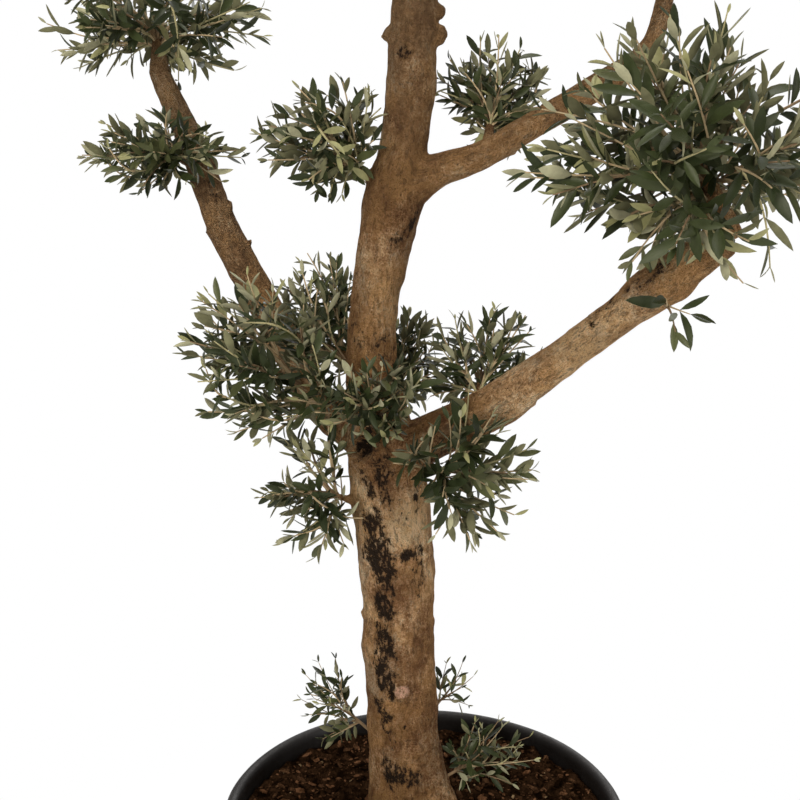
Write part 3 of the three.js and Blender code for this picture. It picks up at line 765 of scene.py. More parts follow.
# Curves are three control points each: where it starts, where it heads and its tip.
def shootsOf(mass, count, draw, further=1.0):
    first, last = mass["stem"]["rows"][1:, :3]
    outward, upStem = spreadOver(mass, count, growth["shootsBelow"], next(draw) * 2 * math.pi)
    least, more = growth["tipShare"]
    share = np.array([[least + more * next(draw)] for _ in range(count)])
    tip = outward * mass["spread"] * share * further + mass["middle"]
    start = first + (last - first) * upStem
    length = np.linalg.norm(tip - start, axis=1, keepdims=True)
    lead = start + mass["stem"]["axis"] * growth["lead"] * length
    curves = np.stack([start, lead, tip], axis=1)
    return curves[curvesWithRoom(mass, curves, growth["tested"])]


def curvesWithRoom(mass, curves, shares):
    room = np.ones(len(curves), bool)
    for share in shares:
        room &= roomFor(mass, pointOn(curves, share), 1 if share == 1 else np.inf)
    return room


def pointOn(curves, share):
    return curves[:, 0] * (1 - share) ** 2 + curves[:, 1] * 2 * share * (1 - share) + curves[:, 2] * share**2


def headingOn(curves, share):
    return unit((curves[:, 1] - curves[:, 0]) * (1 - share) + (curves[:, 2] - curves[:, 1]) * share)


# ---- trunk and boughs as one skin with the bark's relief ----

wood = {
    "sides": 40,
    "knobSides": 16,
    "rowLength": 9,
    "voxel": 3.1,
    "smoothings": 4,
    "collarIn": 6,  # how far up the bough its collar ends
    "collarEase": 0.7,
    "collarRows": 9,
    "elbow": 1.06,
    "grainBlend": 7,
    "footFade": [2, 6],  # the relief starts over the compost and is whole this far up
    "lump": 0.05,  # low swellings, as a share of the limb's radius
    "lumpSize": 80,
    "dent": 1.5,
    "dentSize": 26,
    "ridge": 0.9,
    "ridgeSize": 10,
    "shadedUp": [1.25, 1.6],  # metres up and across between which the bark grows darker
    "shadedLeft": [-0.12, -0.26],
    "stretch": 0.6,  # how far the grain is drawn out along a limb
    # Root lobes at the foot of the trunk: bearing (0 left, 90 back, 180 right), swell and half-width.
    "rootLobes": [[196, 0.46, 30], [70, 0.16, 40], [318, 0.12, 34]],
    "rootHeight": 85,
    # Pruning knobs: limb, share along it, bearing (0 left, 90 front, 180 right), radius, how far out.
    "knobs": [
        ["trunk", 0.727, 5, 9, 8], ["trunk", 0.729, 172, 14, 15], ["trunk", 0.747, 185, 10, 12],
        ["left_bough", 0.6, 150, 11, 8], ["trunk", 0.214, 6, 7, 4], ["trunk", 0.204, 178, 6, 4],
        ["left_bough", 0.49, 172, 4, 8], ["left_bough", 0.56, 10, 7, 3],
        ["right_low_bough", 0.1, 190, 12, 6], ["right_high_bough", 0.34, 200, 5, 5],
        ["right_low_bough", 0.3, 185, 4, 4], ["trunk", 0.34, 100, 9, 5],
    ],
    # Rings of a knob: shares of the limb's radius, of its stand and of its own radius, and how wide.
    "knobRings": [[0.4, 0, 0, 1.6], [0.85, 0, 0, 1.25], [1, 0.4, 0, 0.95], [1, 1, -0.25, 0.8]],
    "knobLumps": 4,
    "lumpOff": [0.55, 0.35],  # across the knob and back from its end, in its radii
    "lumpRadius": [0.34, 0.16],
    # Low swellings on the skin: place, half-width and height.
    "burrs": [
        [(262, -212, 1262), 34, 6], [(288, -236, 1262), 24, 5], [(-6, -6, 1345), 22, 5],
        [(-44, -24, 1322), 30, 4], [(-4, -10, 1500), 30, 5], [(-84, -22, 1030), 26, 5],
        [(-20, -40, 1010), 34, 5], [(118, -92, 1080), 28, 5], [(-30, 58, 900), 40, 6],
        [(-92, 24, 700), 34, 4], [(14, 14, 620), 34, 3], [(-40, -28, 1530), 22, 3],
    ],
    # Healed wounds on the skin: place, radius, depth of the hollow, height of the lip and how dark it is, a
    # dark that in the hollow is partly painted shade.
    "wounds": [
        [(-86.5, -40.0, 1014), 13.5, 22, 8.5, 1.0], [(-47.5, -40.6, 648.3), 5, 6, 2, 0.9],
        [(-29.6, -29.2, 1533), 9, 2.5, 3.5, 0.45], [(-28.8, -41.0, 596.7), 3.5, 2.5, 0.5, 0.8],
        [(-11.2, -33.5, 964.7), 8, 2, 3, 0.5], [(199.1, -189.5, 1213.7), 8, 1.5, 2.4, 0.3],
        [(232.0, -212.0, 1256.0), 7, 1.5, 2.0, 0.5], [(-30, 62, 700), 9, 4, 3, 0.7],
        [(-80, 44, 900), 8, 3, 2, 0.7],
    ],
    # A branch cut off flush: place, radius and height of its rim.
    "scar": [(-33.1, -42.4, 653.9), 10, 2.6],
    # Paler and darker stretches of the bark, partly its own tone and partly painted light and shade, such as
    # a lit left edge of the trunk and a shaded back bough: place, half-width and how much.
    "tintsAndPaintedLight": [
        [(-24, -48, 915), 40, 0.42], [(-90, -18, 774), 26, 0.44], [(-92, -10, 905), 24, 0.36],
        [(-86, -14, 690), 30, 0.1], [(18, -14, 820), 34, 0.34], [(-18, -38, 720), 40, -0.04],
        [(-40, -38, 600), 34, -0.02], [(-50, -30, 475), 50, -0.3], [(-14, -40, 652), 40, -0.26],
        [(-12, -40, 598), 40, -0.2], [(-12, -44, 530), 44, -0.2], [(-84, -24, 955), 26, 0.5],
        [(-20, -30, 1368), 48, -0.32], [(225, -200, 1215), 36, 0.12], [(-255, 130, 1240), 60, -0.1],
        [(-304, 146, 1312), 50, -0.26], [(-66, -30, 1120), 44, -0.2], [(-60, -40, 985), 34, -0.1],
        [(-58, -30, 1235), 36, 0.26], [(-40, -30, 1320), 32, -0.06], [(110, -100, 1100), 60, 0.26],
        [(190, -160, 1185), 56, 0.5], [(290, -240, 1290), 50, 0.14], [(-20, 50, 800), 60, -0.1],
        [(20, 20, 560), 50, 0.1], [(-100, 20, 560), 50, -0.1], [(-200, 90, 1130), 60, 0.04],
        [(70, -24, 1404), 60, -0.04],
    ],
}
# Black weathered streaks on the bark: from, to, half-width, strength.
soot = [
    [(-64, -52, 997), (-55, -54, 945), 8, 0.72], [(-85, -44, 979), (-76, -49, 955), 8, 0.55],
    [(-74, -48, 932), (-65, -51, 929), 4, 0.66], [(-77, -44, 912), (-66, -48, 880), 13, 0.86],
    [(-66, -50, 917), (-58, -50, 886), 7, 0.66], [(-69, -46, 873), (-60, -47, 840), 17, 1.0],
    [(-60, -47, 835), (-54, -47, 812), 12, 0.95], [(-85, -32, 856), (-78, -38, 849), 6, 0.7],
    [(-61, -43, 792), (-57, -44, 776), 12, 1.0], [(-66, -38, 751), (-62, -40, 744), 9, 0.9],
    [(-60, -40, 731), (-57, -40, 713), 12, 0.93], [(-65, -35, 698), (-53, -40, 680), 10, 0.86],
    [(-63, -35, 680), (-59, -36, 659), 8, 0.93], [(-50, -41, 676), (-48, -40, 646), 6, 0.78],
    [(-56, -46, 811), (-53, -38, 639), 6, 0.5], [(-29, -48, 861), (-10, -38, 866), 7, 0.88],
    [(-11, -39, 856), (-12, -40, 808), 8, 0.48], [(-66, -30, 630), (-56, -36, 604), 9, 0.72],
    [(-53, -37, 594), (-45, -39, 570), 9, 0.52], [(-49, -37, 524), (-21, -40, 515), 12, 0.86],
    [(-54, -35, 534), (-45, -39, 504), 9, 0.66], [(-15, -40, 945), (-14, -40, 926), 4, 0.66],
    [(-12, -16, 1342), (-20, -23, 1322), 9, 0.66], [(-20, -22, 1320), (-41, -34, 1297), 10, 0.52],
    [(-77, -40, 1055), (-58, -53, 988), 14, 0.54], [(-101, -20, 1175), (-74, -34, 1147), 12, 0.42],
    [(-56, -28, 1156), (-47, -21, 1122), 15, 0.46], [(205, -187, 1228), (217, -198, 1239), 7, 0.55],
    [(244, -226, 1263), (271, -246, 1292), 9, 0.52], [(-320, 156, 1359), (-302, 152, 1337), 8, 0.46],
    [(-24, 66, 700), (-20, 62, 560), 14, 0.72], [(-96, 26, 860), (-88, 30, 740), 9, 0.62],
    [(10, 18, 820), (14, 20, 700), 8, 0.56],
]


# A closed tube on a row of samples, drawn out ring by ring from a round face.
def addTube(bm, samples, sides, shape=None):
    along = directionsOf(samples)
    turns = []
    for direction in along:
        side, front = across(direction)
        turns.append(Matrix((side, front, direction)).transposed())
    places = [
        Matrix.Translation(row[:3] * mm) @ turn.to_4x4() @ Matrix.Diagonal((row[3] * mm, row[3] * mm, 1, 1))
        for row, turn in zip(samples, turns)
    ]
    made = bmesh.ops.create_circle(bm, cap_ends=True, radius=1, segments=sides, matrix=places[0])
    ring = made["verts"]
    face = ring[0].link_faces[0]
    rings = [list(ring)]
    for old, new in zip(places, places[1:]):
        face = bmesh.ops.extrude_discrete_faces(bm, faces=[face])["faces"][0]
        ring = list(face.verts)
        bmesh.ops.transform(bm, matrix=new @ old.inverted(), verts=ring)
        rings.append(ring)
    rim = {edge for vert in rings[0] for edge in vert.link_edges if edge.is_boundary}
    bmesh.ops.holes_fill(bm, edges=list(rim))
    if shape:
        for ring, row in zip(rings, samples):
            shape(ring, row)


# The root lobes swell out of the trunk's foot.
def flareFoot(ring, row):
    fade = math.exp(-(((row[2] - soilTop) / wood["rootHeight"]) ** 2))
    for vert in ring:
        out = vert.co - Vector(row[:3]) * mm
        bearing = math.degrees(math.atan2(out.y, -out.x))
        swell = 0
        for lobe, most, width in wood["rootLobes"]:
            off = (bearing - lobe + 180) % 360 - 180
            swell += most * math.exp(-((off / width) ** 2))
        vert.co += Vector((out.x, out.y, 0)) * swell * fade


def addCollar(bm, limb):
    foot = limb["samples"][0, :3] + limb["along"][0] * wood["collarIn"]
    radius = limb["stations"][0][3]
    seat = np.array(limb["seat"], float)
    rows = []
    for share in np.linspace(0, 1, wood["collarRows"]):
        blend = share ** wood["collarEase"]
        rows.append([*(seat + (foot - seat) * share), limb["collar"] * (1 - blend) + radius * blend])
    addTube(bm, np.array(rows), wood["sides"])


# A pruned stub: a short taper out of the limb with a lumpy, healed-over end.
def addKnob(bm, name, share, bearing, radius, stand):
    limb = limbs[name]
    at = share * limb["steps"]
    i = int(at)
    sample = limb["samples"][i] + (limb["samples"][i + 1] - limb["samples"][i]) * (at - i)
    side, front = across(limb["along"][i])
    out = side * math.cos(math.radians(bearing)) - front * math.sin(math.radians(bearing))
    rows = []
    for ofLimb, ofStand, ofRadius, wide in wood["knobRings"]:
        away = sample[3] * ofLimb + stand * ofStand + radius * ofRadius
        rows.append([*(sample[:3] + out * away), radius * wide])
    addTube(bm, np.array(rows), wood["knobSides"])
    rng = np.random.default_rng(int(share * 1000) + bearing)
    aside, back = wood["lumpOff"]
    least, more = wood["lumpRadius"]
    for _ in range(wood["knobLumps"]):
        off = rng.normal(0, 1, 3)
        off = unit(off - out * (off @ out)) * radius * aside - out * radius * rng.random() * back
        bmesh.ops.create_icosphere(
            bm, subdivisions=2, radius=radius * (least + more * rng.random()) * mm,
            matrix=Matrix.Translation((rows[-1][:3] + off) * mm),
        )


def roughWood():
    bm = bmesh.new()
    for name, limb in limbs.items():
        length = np.linalg.norm(np.diff(limb["samples"][:, :3], axis=0), axis=1).sum()
        rows = sampleLimb(limb["stations"], round(length / wood["rowLength"]))
        addTube(bm, rows, wood["sides"], flareFoot if name == "trunk" else None)
        if "seat" in limb:
            addCollar(bm, limb)
    elbow = limbs["right_high_riser"]["samples"][0]
    bmesh.ops.create_icosphere(
        bm, subdivisions=4, radius=elbow[3] * wood["elbow"] * mm, matrix=Matrix.Translation(elbow[:3] * mm)
    )
    for knob in wood["knobs"]:
        addKnob(bm, *knob)
    for mass in masses.values():
        if not mass.get("airy"):
            rows = mass["stem"]["rows"]
            rows = np.array([rows[0] * (1 - u) + rows[2] * u for u in np.linspace(-0.04, 1, 12)])
            addTube(bm, rows, wood["knobSides"])
    return bm


# The nearest centreline point of all limbs, blended where limbs meet so the grain runs on.
def grainMiddles(points):
    total = np.zeros(len(points))
    middles = np.zeros_like(points)
    for rows in limbRows:
        outside, nearest = clearance(rows, points)
        weight = np.exp(-np.maximum(outside, 0) / wood["grainBlend"])
        total += weight
        middles += nearest * weight[:, None]
    return middles / total[:, None]


def noiseAt(points, size, seed, octaves=2):
    offset = Vector((seed * 7.3, seed * 3.1, seed * 5.7))
    return np.array([
        noise.fractal(Vector(point) / size + offset, 1.0, 2.0, octaves) for point in points
    ])


# How far points are from a place, in half-widths.
def farFrom(points, place, half):
    return np.linalg.norm(points - place, axis=1) / half


# How far each point of the skin stands out or in, how black it is from soot and from painted shade in wound
# hollows, whether it is freshly cut, and how pale or dark from its own tone and from painted light and shade.
def barkRelief(points, radii, grain):
    size = np.clip(radii / 30, 0.2, 1)  # thin boughs are smoother
    out = noiseAt(points, wood["lumpSize"], 1) * wood["lump"] * radii
    out += noiseAt(points, wood["dentSize"], 2) * wood["dent"] * size
    out += noiseAt(grain, wood["ridgeSize"], 3) * wood["ridge"] * size
    for place, half, height in wood["burrs"]:
        out += height * np.exp(-(farFrom(points, place, half) ** 2))
    sootAndShade = np.zeros(len(points))
    for place, radius, depth, lip, dark in wood["wounds"]:
        away = farFrom(points, place, radius)
        out -= depth * np.exp(-(away**4) * 0.8)
        out += lip * np.exp(-(((away - 1.6) / 0.5) ** 2))
        # In the hollow of a wound the black is partly painted shade.
        sootAndShade = np.maximum(sootAndShade, 1.4 * dark * np.exp(-(away**4) * 0.7))
    place, radius, rim = wood["scar"]
    away = farFrom(points, place, radius)
    out += rim * np.exp(-(((away - 1.05) / 0.25) ** 2)) - 0.6 * (away < 0.8)
    cut = np.clip((1.1 - away) / 0.25, 0, 1)
    for begin, end, half, strength in soot:
        away = clearance(np.array([[*begin, 0.0], [*end, 0.0]]), points)[0] / half
        sootAndShade = np.maximum(sootAndShade, strength * np.exp(-(away**4) * 0.35))
    tintAndLight = sum(much * np.exp(-(farFrom(points, place, half) ** 2)) for place, half, much in wood["tintsAndPaintedLight"])
    return out, sootAndShade * (1 - cut), cut, tintAndLight


def setAttribute(mesh, name, kind, field, values):
    attribute = mesh.attributes.new(name, kind, "POINT")
    attribute.data.foreach_set(field, values.astype(np.float32).ravel())


def makeWoodMesh():
    rough = meshFrom(roughWood(), "roughWood")
    holder = newObject("roughWood", rough)
    remesh = holder.modifiers.new("skin", "REMESH")
    remesh.mode = "VOXEL"
    remesh.voxel_size = wood["voxel"] * mm
    graph = bpy.context.evaluated_depsgraph_get()
    mesh = bpy.data.meshes.new_from_object(holder.evaluated_get(graph))
    bpy.data.objects.remove(holder)
    bpy.data.meshes.remove(rough)
    bm = bmesh.new()
    bm.from_mesh(mesh)
    for _ in range(wood["smoothings"]):
        bmesh.ops.smooth_vert(
            bm, verts=bm.verts[:], factor=0.5, use_axis_x=True, use_axis_y=True, use_axis_z=True
        )
    bm.normal_update()
    points = np.array([vert.co for vert in bm.verts]) / mm
    normals = np.array([vert.normal for vert in bm.verts])
    middles = grainMiddles(points)
    grain = points - middles * wood["stretch"]
    radii = np.linalg.norm(points - middles, axis=1)
    out, sootAndShade, cut, tintAndLight = barkRelief(points, radii, grain)
    start, whole = wood["footFade"]
    foot = np.clip((points[:, 2] - soilTop - start) / whole, 0, 1)
    moved = (points + normals * (out * foot)[:, None]) * mm
    for vert, place in zip(bm.verts, moved):
        vert.co = place
    bm.to_mesh(mesh)
    bm.free()
    mesh.name = "wood"
    mesh.shade_smooth()
    setAttribute(mesh, "grain", "FLOAT_VECTOR", "vector", grain * mm)
    for name, values in (("sootAndShade", sootAndShade), ("cut", cut), ("tintAndLight", tintAndLight)):
        setAttribute(mesh, name, "FLOAT", "value", values)
    return mesh


barkColours = {
    "crack": plain(0.06, 0.03, 0.013),
    "dark": plain(0.15, 0.065, 0.026),
    "brown": plain(0.36, 0.177, 0.074),
    "tan": plain(0.68, 0.4, 0.195),
    "pale": plain(0.97, 0.74, 0.46),
    "ochre": plain(0.64, 0.335, 0.118),
    "golden": plain(0.92, 0.56, 0.24),
    "umber": plain(0.15, 0.067, 0.028),
    "shade": plain(0.16, 0.104, 0.052),
    "pit": plain(0.045, 0.02, 0.01),
    "soot": plain(0.02, 0.0125, 0.0075),
    "burnt": plain(0.085, 0.044, 0.02),
    "fresh": plain(0.9, 0.54, 0.36),
}


def makeBark():
    material, tree, place = newMaterial("oliveBark")
    grain = addNode(tree, "Attribute", attribute_name="grain").outputs["Vector"]
    sootAndShade, cut, tintAndLight = (
        addNode(tree, "Attribute", attribute_name=name).outputs["Fac"] for name in ("sootAndShade", "cut", "tintAndLight")
    )
    wide = effect(tree, "clouds", place, 9.0, 0.8)
    patches = effect(tree, "grit", grain, 34.0, 5.0)
    mottle = effect(tree, "grit", place, 95.0, 5.0)
    streaks = effect(tree, "grit", grain, 130.0, 4.0)
    fine = effect(tree, "grit", place, 330.0, 3.0)
    cracks = effect(tree, "cracks", grain, 110.0, 0.07)
    golden = effect(tree, "clouds", place, 13.0, 0.9)
    shaded = effect(tree, "clouds", grain, 24.0, 1.0)
    pits = effect(tree, "flecks", grain, 170.0, 0.34)
    ragged = effect(tree, "grit", place, 70.0, 8.0)
    net = effect(tree, "cracks", grain, 120.0, 0.3)
    tone = blended(tree, [(wide, 0.42), (patches, 0.5), (mottle, 0.56), (streaks, 0.2), (fine, 0.6)])
    # Paler and darker stretches shift the tone here and lay golden below: partly the bark's own tone, partly
    # painted light on the trunk's left edge and painted shade on the back bough.
    tone = maths(tree, "ADD", tone, tintAndLight)
    base = ramped(tree, tone, [
        (0.06, barkColours["dark"]), (0.36, barkColours["brown"]), (0.62, barkColours["tan"]),
        (0.94, barkColours["pale"]),
    ])
    parted = addNode(tree, "SeparateXYZ", {0: place}).outputs
    upper = rising(tree, parted["Z"], *wood["shadedUp"])
    leftward = rising(tree, parted["X"], *wood["shadedLeft"])
    netted = maths(tree, "MULTIPLY", cracks, patches)
    torn = blended(tree, [(ragged, 1.0), (net, 0.4), (streaks, 0.6), (fine, 0.6)])
    # The black attribute carries the soot streaks and the painted shade of the wound hollows.
    reach = maths(tree, "MULTIPLY_ADD", sootAndShade, 0.85, torn)
    sooty = rising(tree, reach, 1.04, 1.26)
    for name, mask, most in (
        ("ochre", golden, 0.5), ("umber", shaded, 0.42), ("golden", tintAndLight, 0.8), ("pit", pits, 0.45),
        ("shade", upper, 0.5), ("shade", leftward, 0.42), ("crack", netted, 0.5),
        ("burnt", rising(tree, reach, 0.8, 1.1), 0.7), ("soot", sooty, 0.95),
    ):
        base = laidOver(tree, base, barkColours[name], mask, most)
    freshCut = ramped(tree, fine, [(0.2, barkColours["brown"]), (0.6, barkColours["fresh"])])
    plates = maths(tree, "SUBTRACT", 1.0, cracks)
    finished(tree, {
        "Base Color": mixed(tree, cut, base, freshCut),
        "Roughness": scaled(tree, patches, 0.8, 0.95),
        "Specular IOR Level": 0.06,
    }, [(tone, 0.005, 0.9), (fine, 0.0016, 0.8), (plates, 0.001, 0.5), (sooty, 0.0016, 0.7)])
    return material


newPiece("trunkAndBoughs", makeWoodMesh(), [makeBark()], list(limbs))
print("trunk and boughs are made")

# ---- finer growth: shoots, twigs and leaves ----

finer = {
    "moreShoots": 1.5,  # further shoots for each of the solid's own, and how much further they reach
    "moreReach": 1.45,
    "frontShare": 0.088,  # a pad's front for each leaf, as a share of the leaf's length squared
    "leavesPerTwig": 14,
    "leavesFrom": 0.16,  # share of a twig that is bare at its foot
    "strayLeavesFrom": 0.25,
    "shootEnds": [0.55, 0.8],  # the outer part of a shoot bears leaves too: its start and its middle
    "rounds": 3,  # each round of twigs starts from the shoots and the twigs before it
    "spreadAt": 0.8,  # where along the twigs the spread is judged
    "candidates": 420,  # tips tried in a round, of which the most even spread is kept
    "tipDepth": [0.28, 0.88],  # how far out the tips are, as shares of the reach
    "tipRoom": 0.75,  # room left past a tip, in leaf lengths
    "strayRoom": 0.1,  # and the share of the reach that only the strays get to
    "uneven": 0.5,  # how far the outline comes and goes, and in what waves
    "waves": 3.0,
    "waveHeight": 2.5,
    "longRoom": 0.55,  # room left past the longest shoots' tips, in leaf lengths
    "strays": 0.2,  # long thin shoots that stand out past the rest, for each twig
    "leastStrays": 3,
    "strayDepth": [0.84, 0.98],
    "strayLength": 1.5,
    "strayPairs": 1.45,  # their pairs stand this much further apart
    "startShares": [0.2, 0.35, 0.5, 0.65, 0.8, 0.92],
    "twigLength": [0.34, 44],  # wanted length: a share of the mean reach, and a fixed part
    "laterLength": 0.74,
    "twigShortest": 26,
    "twigLead": 0.42,
    "uplift": 0.28,  # twigs sag at first and turn up to their tips
    "leanOut": 0.6,
    "tipLift": 0.2,
    "detour": 0.8,  # what it costs a twig to leave a bearer that heads elsewhere
    "tooShort": 400,
    "costSpread": 5,
    "mostLength": 2,
    "tested": [0.3, 0.5, 0.75, 1],
    "shootRadius": [3.2, 1.2],
    "twigRadius": [1.75, 0.85],
    "fineStem": [3.2, 1.9],
    "sideHeading": [0.8, 0.6, 0.35],  # where a spray's side twigs head: on, aside and up
    "sideLength": 0.75,  # of the mean reach
    "airyShoot": 0.55,  # how thin an airy spray's shoots and twigs are beside a pad's
    "airyTwig": 0.8,
    "moreThin": 0.7,
    "seedStep": 1000,
    "pairEvery": 0.39,  # from pair to pair, in leaf lengths
    "pairs": [2, 10],
    "pairAngle": [62, 26],  # degrees from the twig, near its foot and at its tip
    "angleRise": 1.3,
    # How far single leaves stray from the rule: along the twig, round it, from it and every way.
    "shareSpread": 0.025,
    "turnSpread": 0.25,
    "angleSpread": 9,
    "outSpread": 0.06,
    "facingOut": 0.7,  # how far the leaves turn their upper faces out of the ball, up and to the tip
    "facingUp": 0.45,
    "facingAlong": 0.65,
    "facingSpread": 0.32,
    "sizeSpread": 0.18,
    "sizes": [0.6, 1.25],
    "tipLeaf": 0.62,
    "nextLeaf": 0.85,
    "leastLeaf": 0.66,  # a leaf that would have to be shorter than this is left out
    "furthest": 1.07,
    "tipSlack": 0.02,
    "limbClear": 2.0,
    "massShare": -0.04,
}
leafShape = {
    "widthShare": 0.28,
    "thickness": 0.016,
    "stations": [0, 0.08, 0.24, 0.46, 0.68, 0.87, 1],
    "widths": [0, 0.16, 0.7, 1.0, 0.9, 0.52, 0],
    # fold along the midrib, bend down to the tip, twist in degrees and sideways sweep
    "kinds": [
        [0.30, 0.08, 6, 0.02], [0.42, 0.18, -12, -0.06], [0.22, -0.08, 16, 0.07], [0.5, 0.04, -5, 0.0],
        [0.2, 0.26, 20, -0.04], [0.36, -0.12, -18, 0.05],
    ],
}


# A mesh as arrays, so that it can be repeated many times.
def templateOf(bm):
    bm.verts.index_update()
    corners = [vert.index for face in bm.faces for vert in face.verts]
    return {
        "verts": np.array([vert.co for vert in bm.verts]),
        "corners": np.array(corners),
        "sizes": np.array([len(face.verts) for face in bm.faces]),
        "sides": np.array([face.material_index for face in bm.faces]),
    }


# A leaf of unit length along X, a thin closed lens: its upper face is 0 and its under face 1.
def leafTemplate(fold, bend, twist, sweep):
    bm = bmesh.new()
    bmesh.ops.create_grid(bm, x_segments=len(leafShape["stations"]) - 1, y_segments=2, size=0.5)
    for vert in bm.verts:
        i = round((vert.co.x + 0.5) * (len(leafShape["stations"]) - 1))
        half = leafShape["widths"][i] * leafShape["widthShare"] / 2
        vert.co = (leafShape["stations"][i], vert.co.y * 2 * half, 0)
    under = bmesh.ops.duplicate(bm, geom=bm.verts[:] + bm.edges[:] + bm.faces[:])["geom"]
    underFaces = [item for item in under if isinstance(item, bmesh.types.BMFace)]
    for vert in (item for item in under if isinstance(item, bmesh.types.BMVert)):
        if not vert.is_boundary:
            vert.co.z -= leafShape["thickness"]
    bmesh.ops.reverse_faces(bm, faces=underFaces)
    for face in underFaces:
        face.material_index = 1
    bmesh.ops.remove_doubles(bm, verts=bm.verts[:], dist=1e-5)
    for vert in bm.verts:
        x, y, z = vert.co
        turn = math.radians(twist) * x
        lift = fold * abs(y) + z
        vert.co = (
            x, y * math.cos(turn) - lift * math.sin(turn) + sweep * x * x,
            y * math.sin(turn) + lift * math.cos(turn) - bend * x * x,
        )
    template = templateOf(bm)
    bm.free()
    return template


# Copies of a template, each with its own 3x3 frame and origin, as one set of arrays.
def repeat(template, frames, origins):
    count, size = len(origins), len(template["verts"])
    verts = np.einsum("nij,vj->nvi", frames, template["verts"]) + origins[:, None]
    corners = template["corners"][None] + (np.arange(count) * size)[:, None]
    return {
        "verts": verts.reshape(-1, 3),
        "corners": corners.ravel(),
        "sizes": np.tile(template["sizes"], count),
        "sides": np.tile(template["sides"], (count, 1)),
    }


def meshOf(name, parts, sharpAngle=65):
    mesh = bpy.data.meshes.new(name)
    offset, corners = 0, []
    for part in parts:
        corners.append(part["corners"] + offset)
        offset += len(part["verts"])
    verts = np.concatenate([part["verts"] for part in parts]) * mm
    corners = np.concatenate(corners)
    sizes = np.concatenate([part["sizes"] for part in parts])
    finish = np.concatenate([np.ravel(part["finish"]) for part in parts])
    mesh.vertices.add(len(verts))
    mesh.vertices.foreach_set("co", verts.astype(np.float32).ravel())
    mesh.loops.add(len(corners))
    mesh.loops.foreach_set("vertex_index", corners.astype(np.int32))
    mesh.polygons.add(len(sizes))
    starts = np.append(0, np.cumsum(sizes)[:-1])
    mesh.polygons.foreach_set("loop_start", starts.astype(np.int32))
    mesh.polygons.foreach_set("material_index", finish.astype(np.int32))
    mesh.update(calc_edges=True)
    mesh.validate()
    mesh.shade_smooth()
    mesh.set_sharp_from_angle(angle=math.radians(sharpAngle))
    return mesh


# Thin tapering tubes along curves, closed at both ends with a cone.
def tubesOn(curves, radii, sides, steps):
    shares = np.linspace(0, 1, steps + 1)
    count = len(curves)
    rings = []
    for share in shares:
        heading = headingOn(curves, share)
        side = unit(np.cross(heading, [0.31, 0.83, 0.46]))
        front = np.cross(heading, side)
        radius = (radii[:, 0] * (1 - share) + radii[:, 1] * share)[:, None]
        for turn in np.arange(sides) * 2 * math.pi / sides:
            rings.append(pointOn(curves, share) + radius * (side * math.cos(turn) + front * math.sin(turn)))
    rings.append(curves[:, 0] - headingOn(curves, 0) * radii[:, :1])
    rings.append(curves[:, 2] + headingOn(curves, 1) * radii[:, 1:])
    verts = np.stack(rings, axis=1)
    faces, sizes = [], []
    footPoint, tipPoint = sides * (steps + 1), sides * (steps + 1) + 1
    for k in range(sides):
        after = (k + 1) % sides
        for i in range(steps):
            faces += [i * sides + k, i * sides + after, (i + 1) * sides + after, (i + 1) * sides + k]
            sizes.append(4)
        faces += [after, k, footPoint, steps * sides + k, steps * sides + after, tipPoint]
        sizes += [3, 3]
    corners = np.array(faces)[None] + (np.arange(count) * verts.shape[1])[:, None]
    return {
        "verts": verts.reshape(-1, 3), "corners": corners.ravel(), "sizes": np.tile(sizes, count),
        "faces": len(sizes), "count": count,
    }


def toEdge(mass, points, out):
    start = (points - mass["middle"]) / mass["spread"]
    step = out / mass["spread"]
    a, b = (step * step).sum(axis=1), (start * step).sum(axis=1)
    c = (start * start).sum(axis=1) - 1
    return (-b + np.sqrt(np.maximum(b * b - a * c, 0))) / a


# The most evenly spread of many points: each next one is the furthest from those there are.
def evenly(points, count, others):
    gaps = np.full(len(points), np.inf)
    for other in others:
        gaps = np.minimum(gaps, np.linalg.norm(points - other, axis=1))
    chosen = []
    while len(chosen) < min(count, len(points)):
        chosen.append(int(gaps.argmax()) if chosen or len(others) else 0)
        gaps = np.minimum(gaps, np.linalg.norm(points - points[chosen[-1]], axis=1))
        gaps[chosen[-1]] = -1
    return chosen


# Curves to tips. Each leaves the bearer that heads its way from about the wanted length.
def curvesTo(mass, bearers, tips, wanted, uplift, rng):
    outward = unit((tips - mass["middle"]) / mass["spread"])
    starts = np.concatenate([pointOn(bearers, at) for at in finer["startShares"]])
    headings = np.concatenate([headingOn(bearers, at) for at in finer["startShares"]])
    path = tips[:, None] - starts[None]
    length = np.linalg.norm(path, axis=2)
    facing = (path * headings[None]).sum(axis=2) / np.maximum(length, 1)
    cost = abs(length - wanted) + wanted * finer["detour"] * (1 - facing)
    cost += finer["tooShort"] * (length < finer["twigShortest"])
    chosen = (cost + rng.normal(0, finer["costSpread"], cost.shape)).argmin(axis=1)
    start, length = starts[chosen], length[np.arange(len(tips)), chosen][:, None]
    lean = unit(headings[chosen] + finer["leanOut"] * outward - [0, 0, 0.5 * finer["uplift"]])
    tips = tips + np.array([0, 0, uplift * finer["tipLift"]]) * length
    curves = np.stack([start, start + lean * length * finer["twigLead"], tips], axis=1)
    notTooLong = length[:, 0] < finer["mostLength"] * wanted
    return curves[notTooLong & curvesWithRoom(mass, curves, finer["tested"])]


# Tips scattered between two depths, where the outline comes and goes.
def scatteredTips(mass, depths, rng):
    outward = unit(rng.normal(0, 1, (finer["candidates"], 3)))
    swing = np.sin(outward @ mass["waves"]).sum(axis=1, keepdims=True) / finer["waveHeight"]
    inner, outer = depths[0], depths[1] * (1 - finer["uneven"] * np.clip(swing, 0, 1))
    depth = (inner**3 + np.maximum(outer**3 - inner**3, 0) * rng.random((len(outward), 1))) ** (1 / 3)
    return mass["middle"] + outward * mass["spread"] * depth


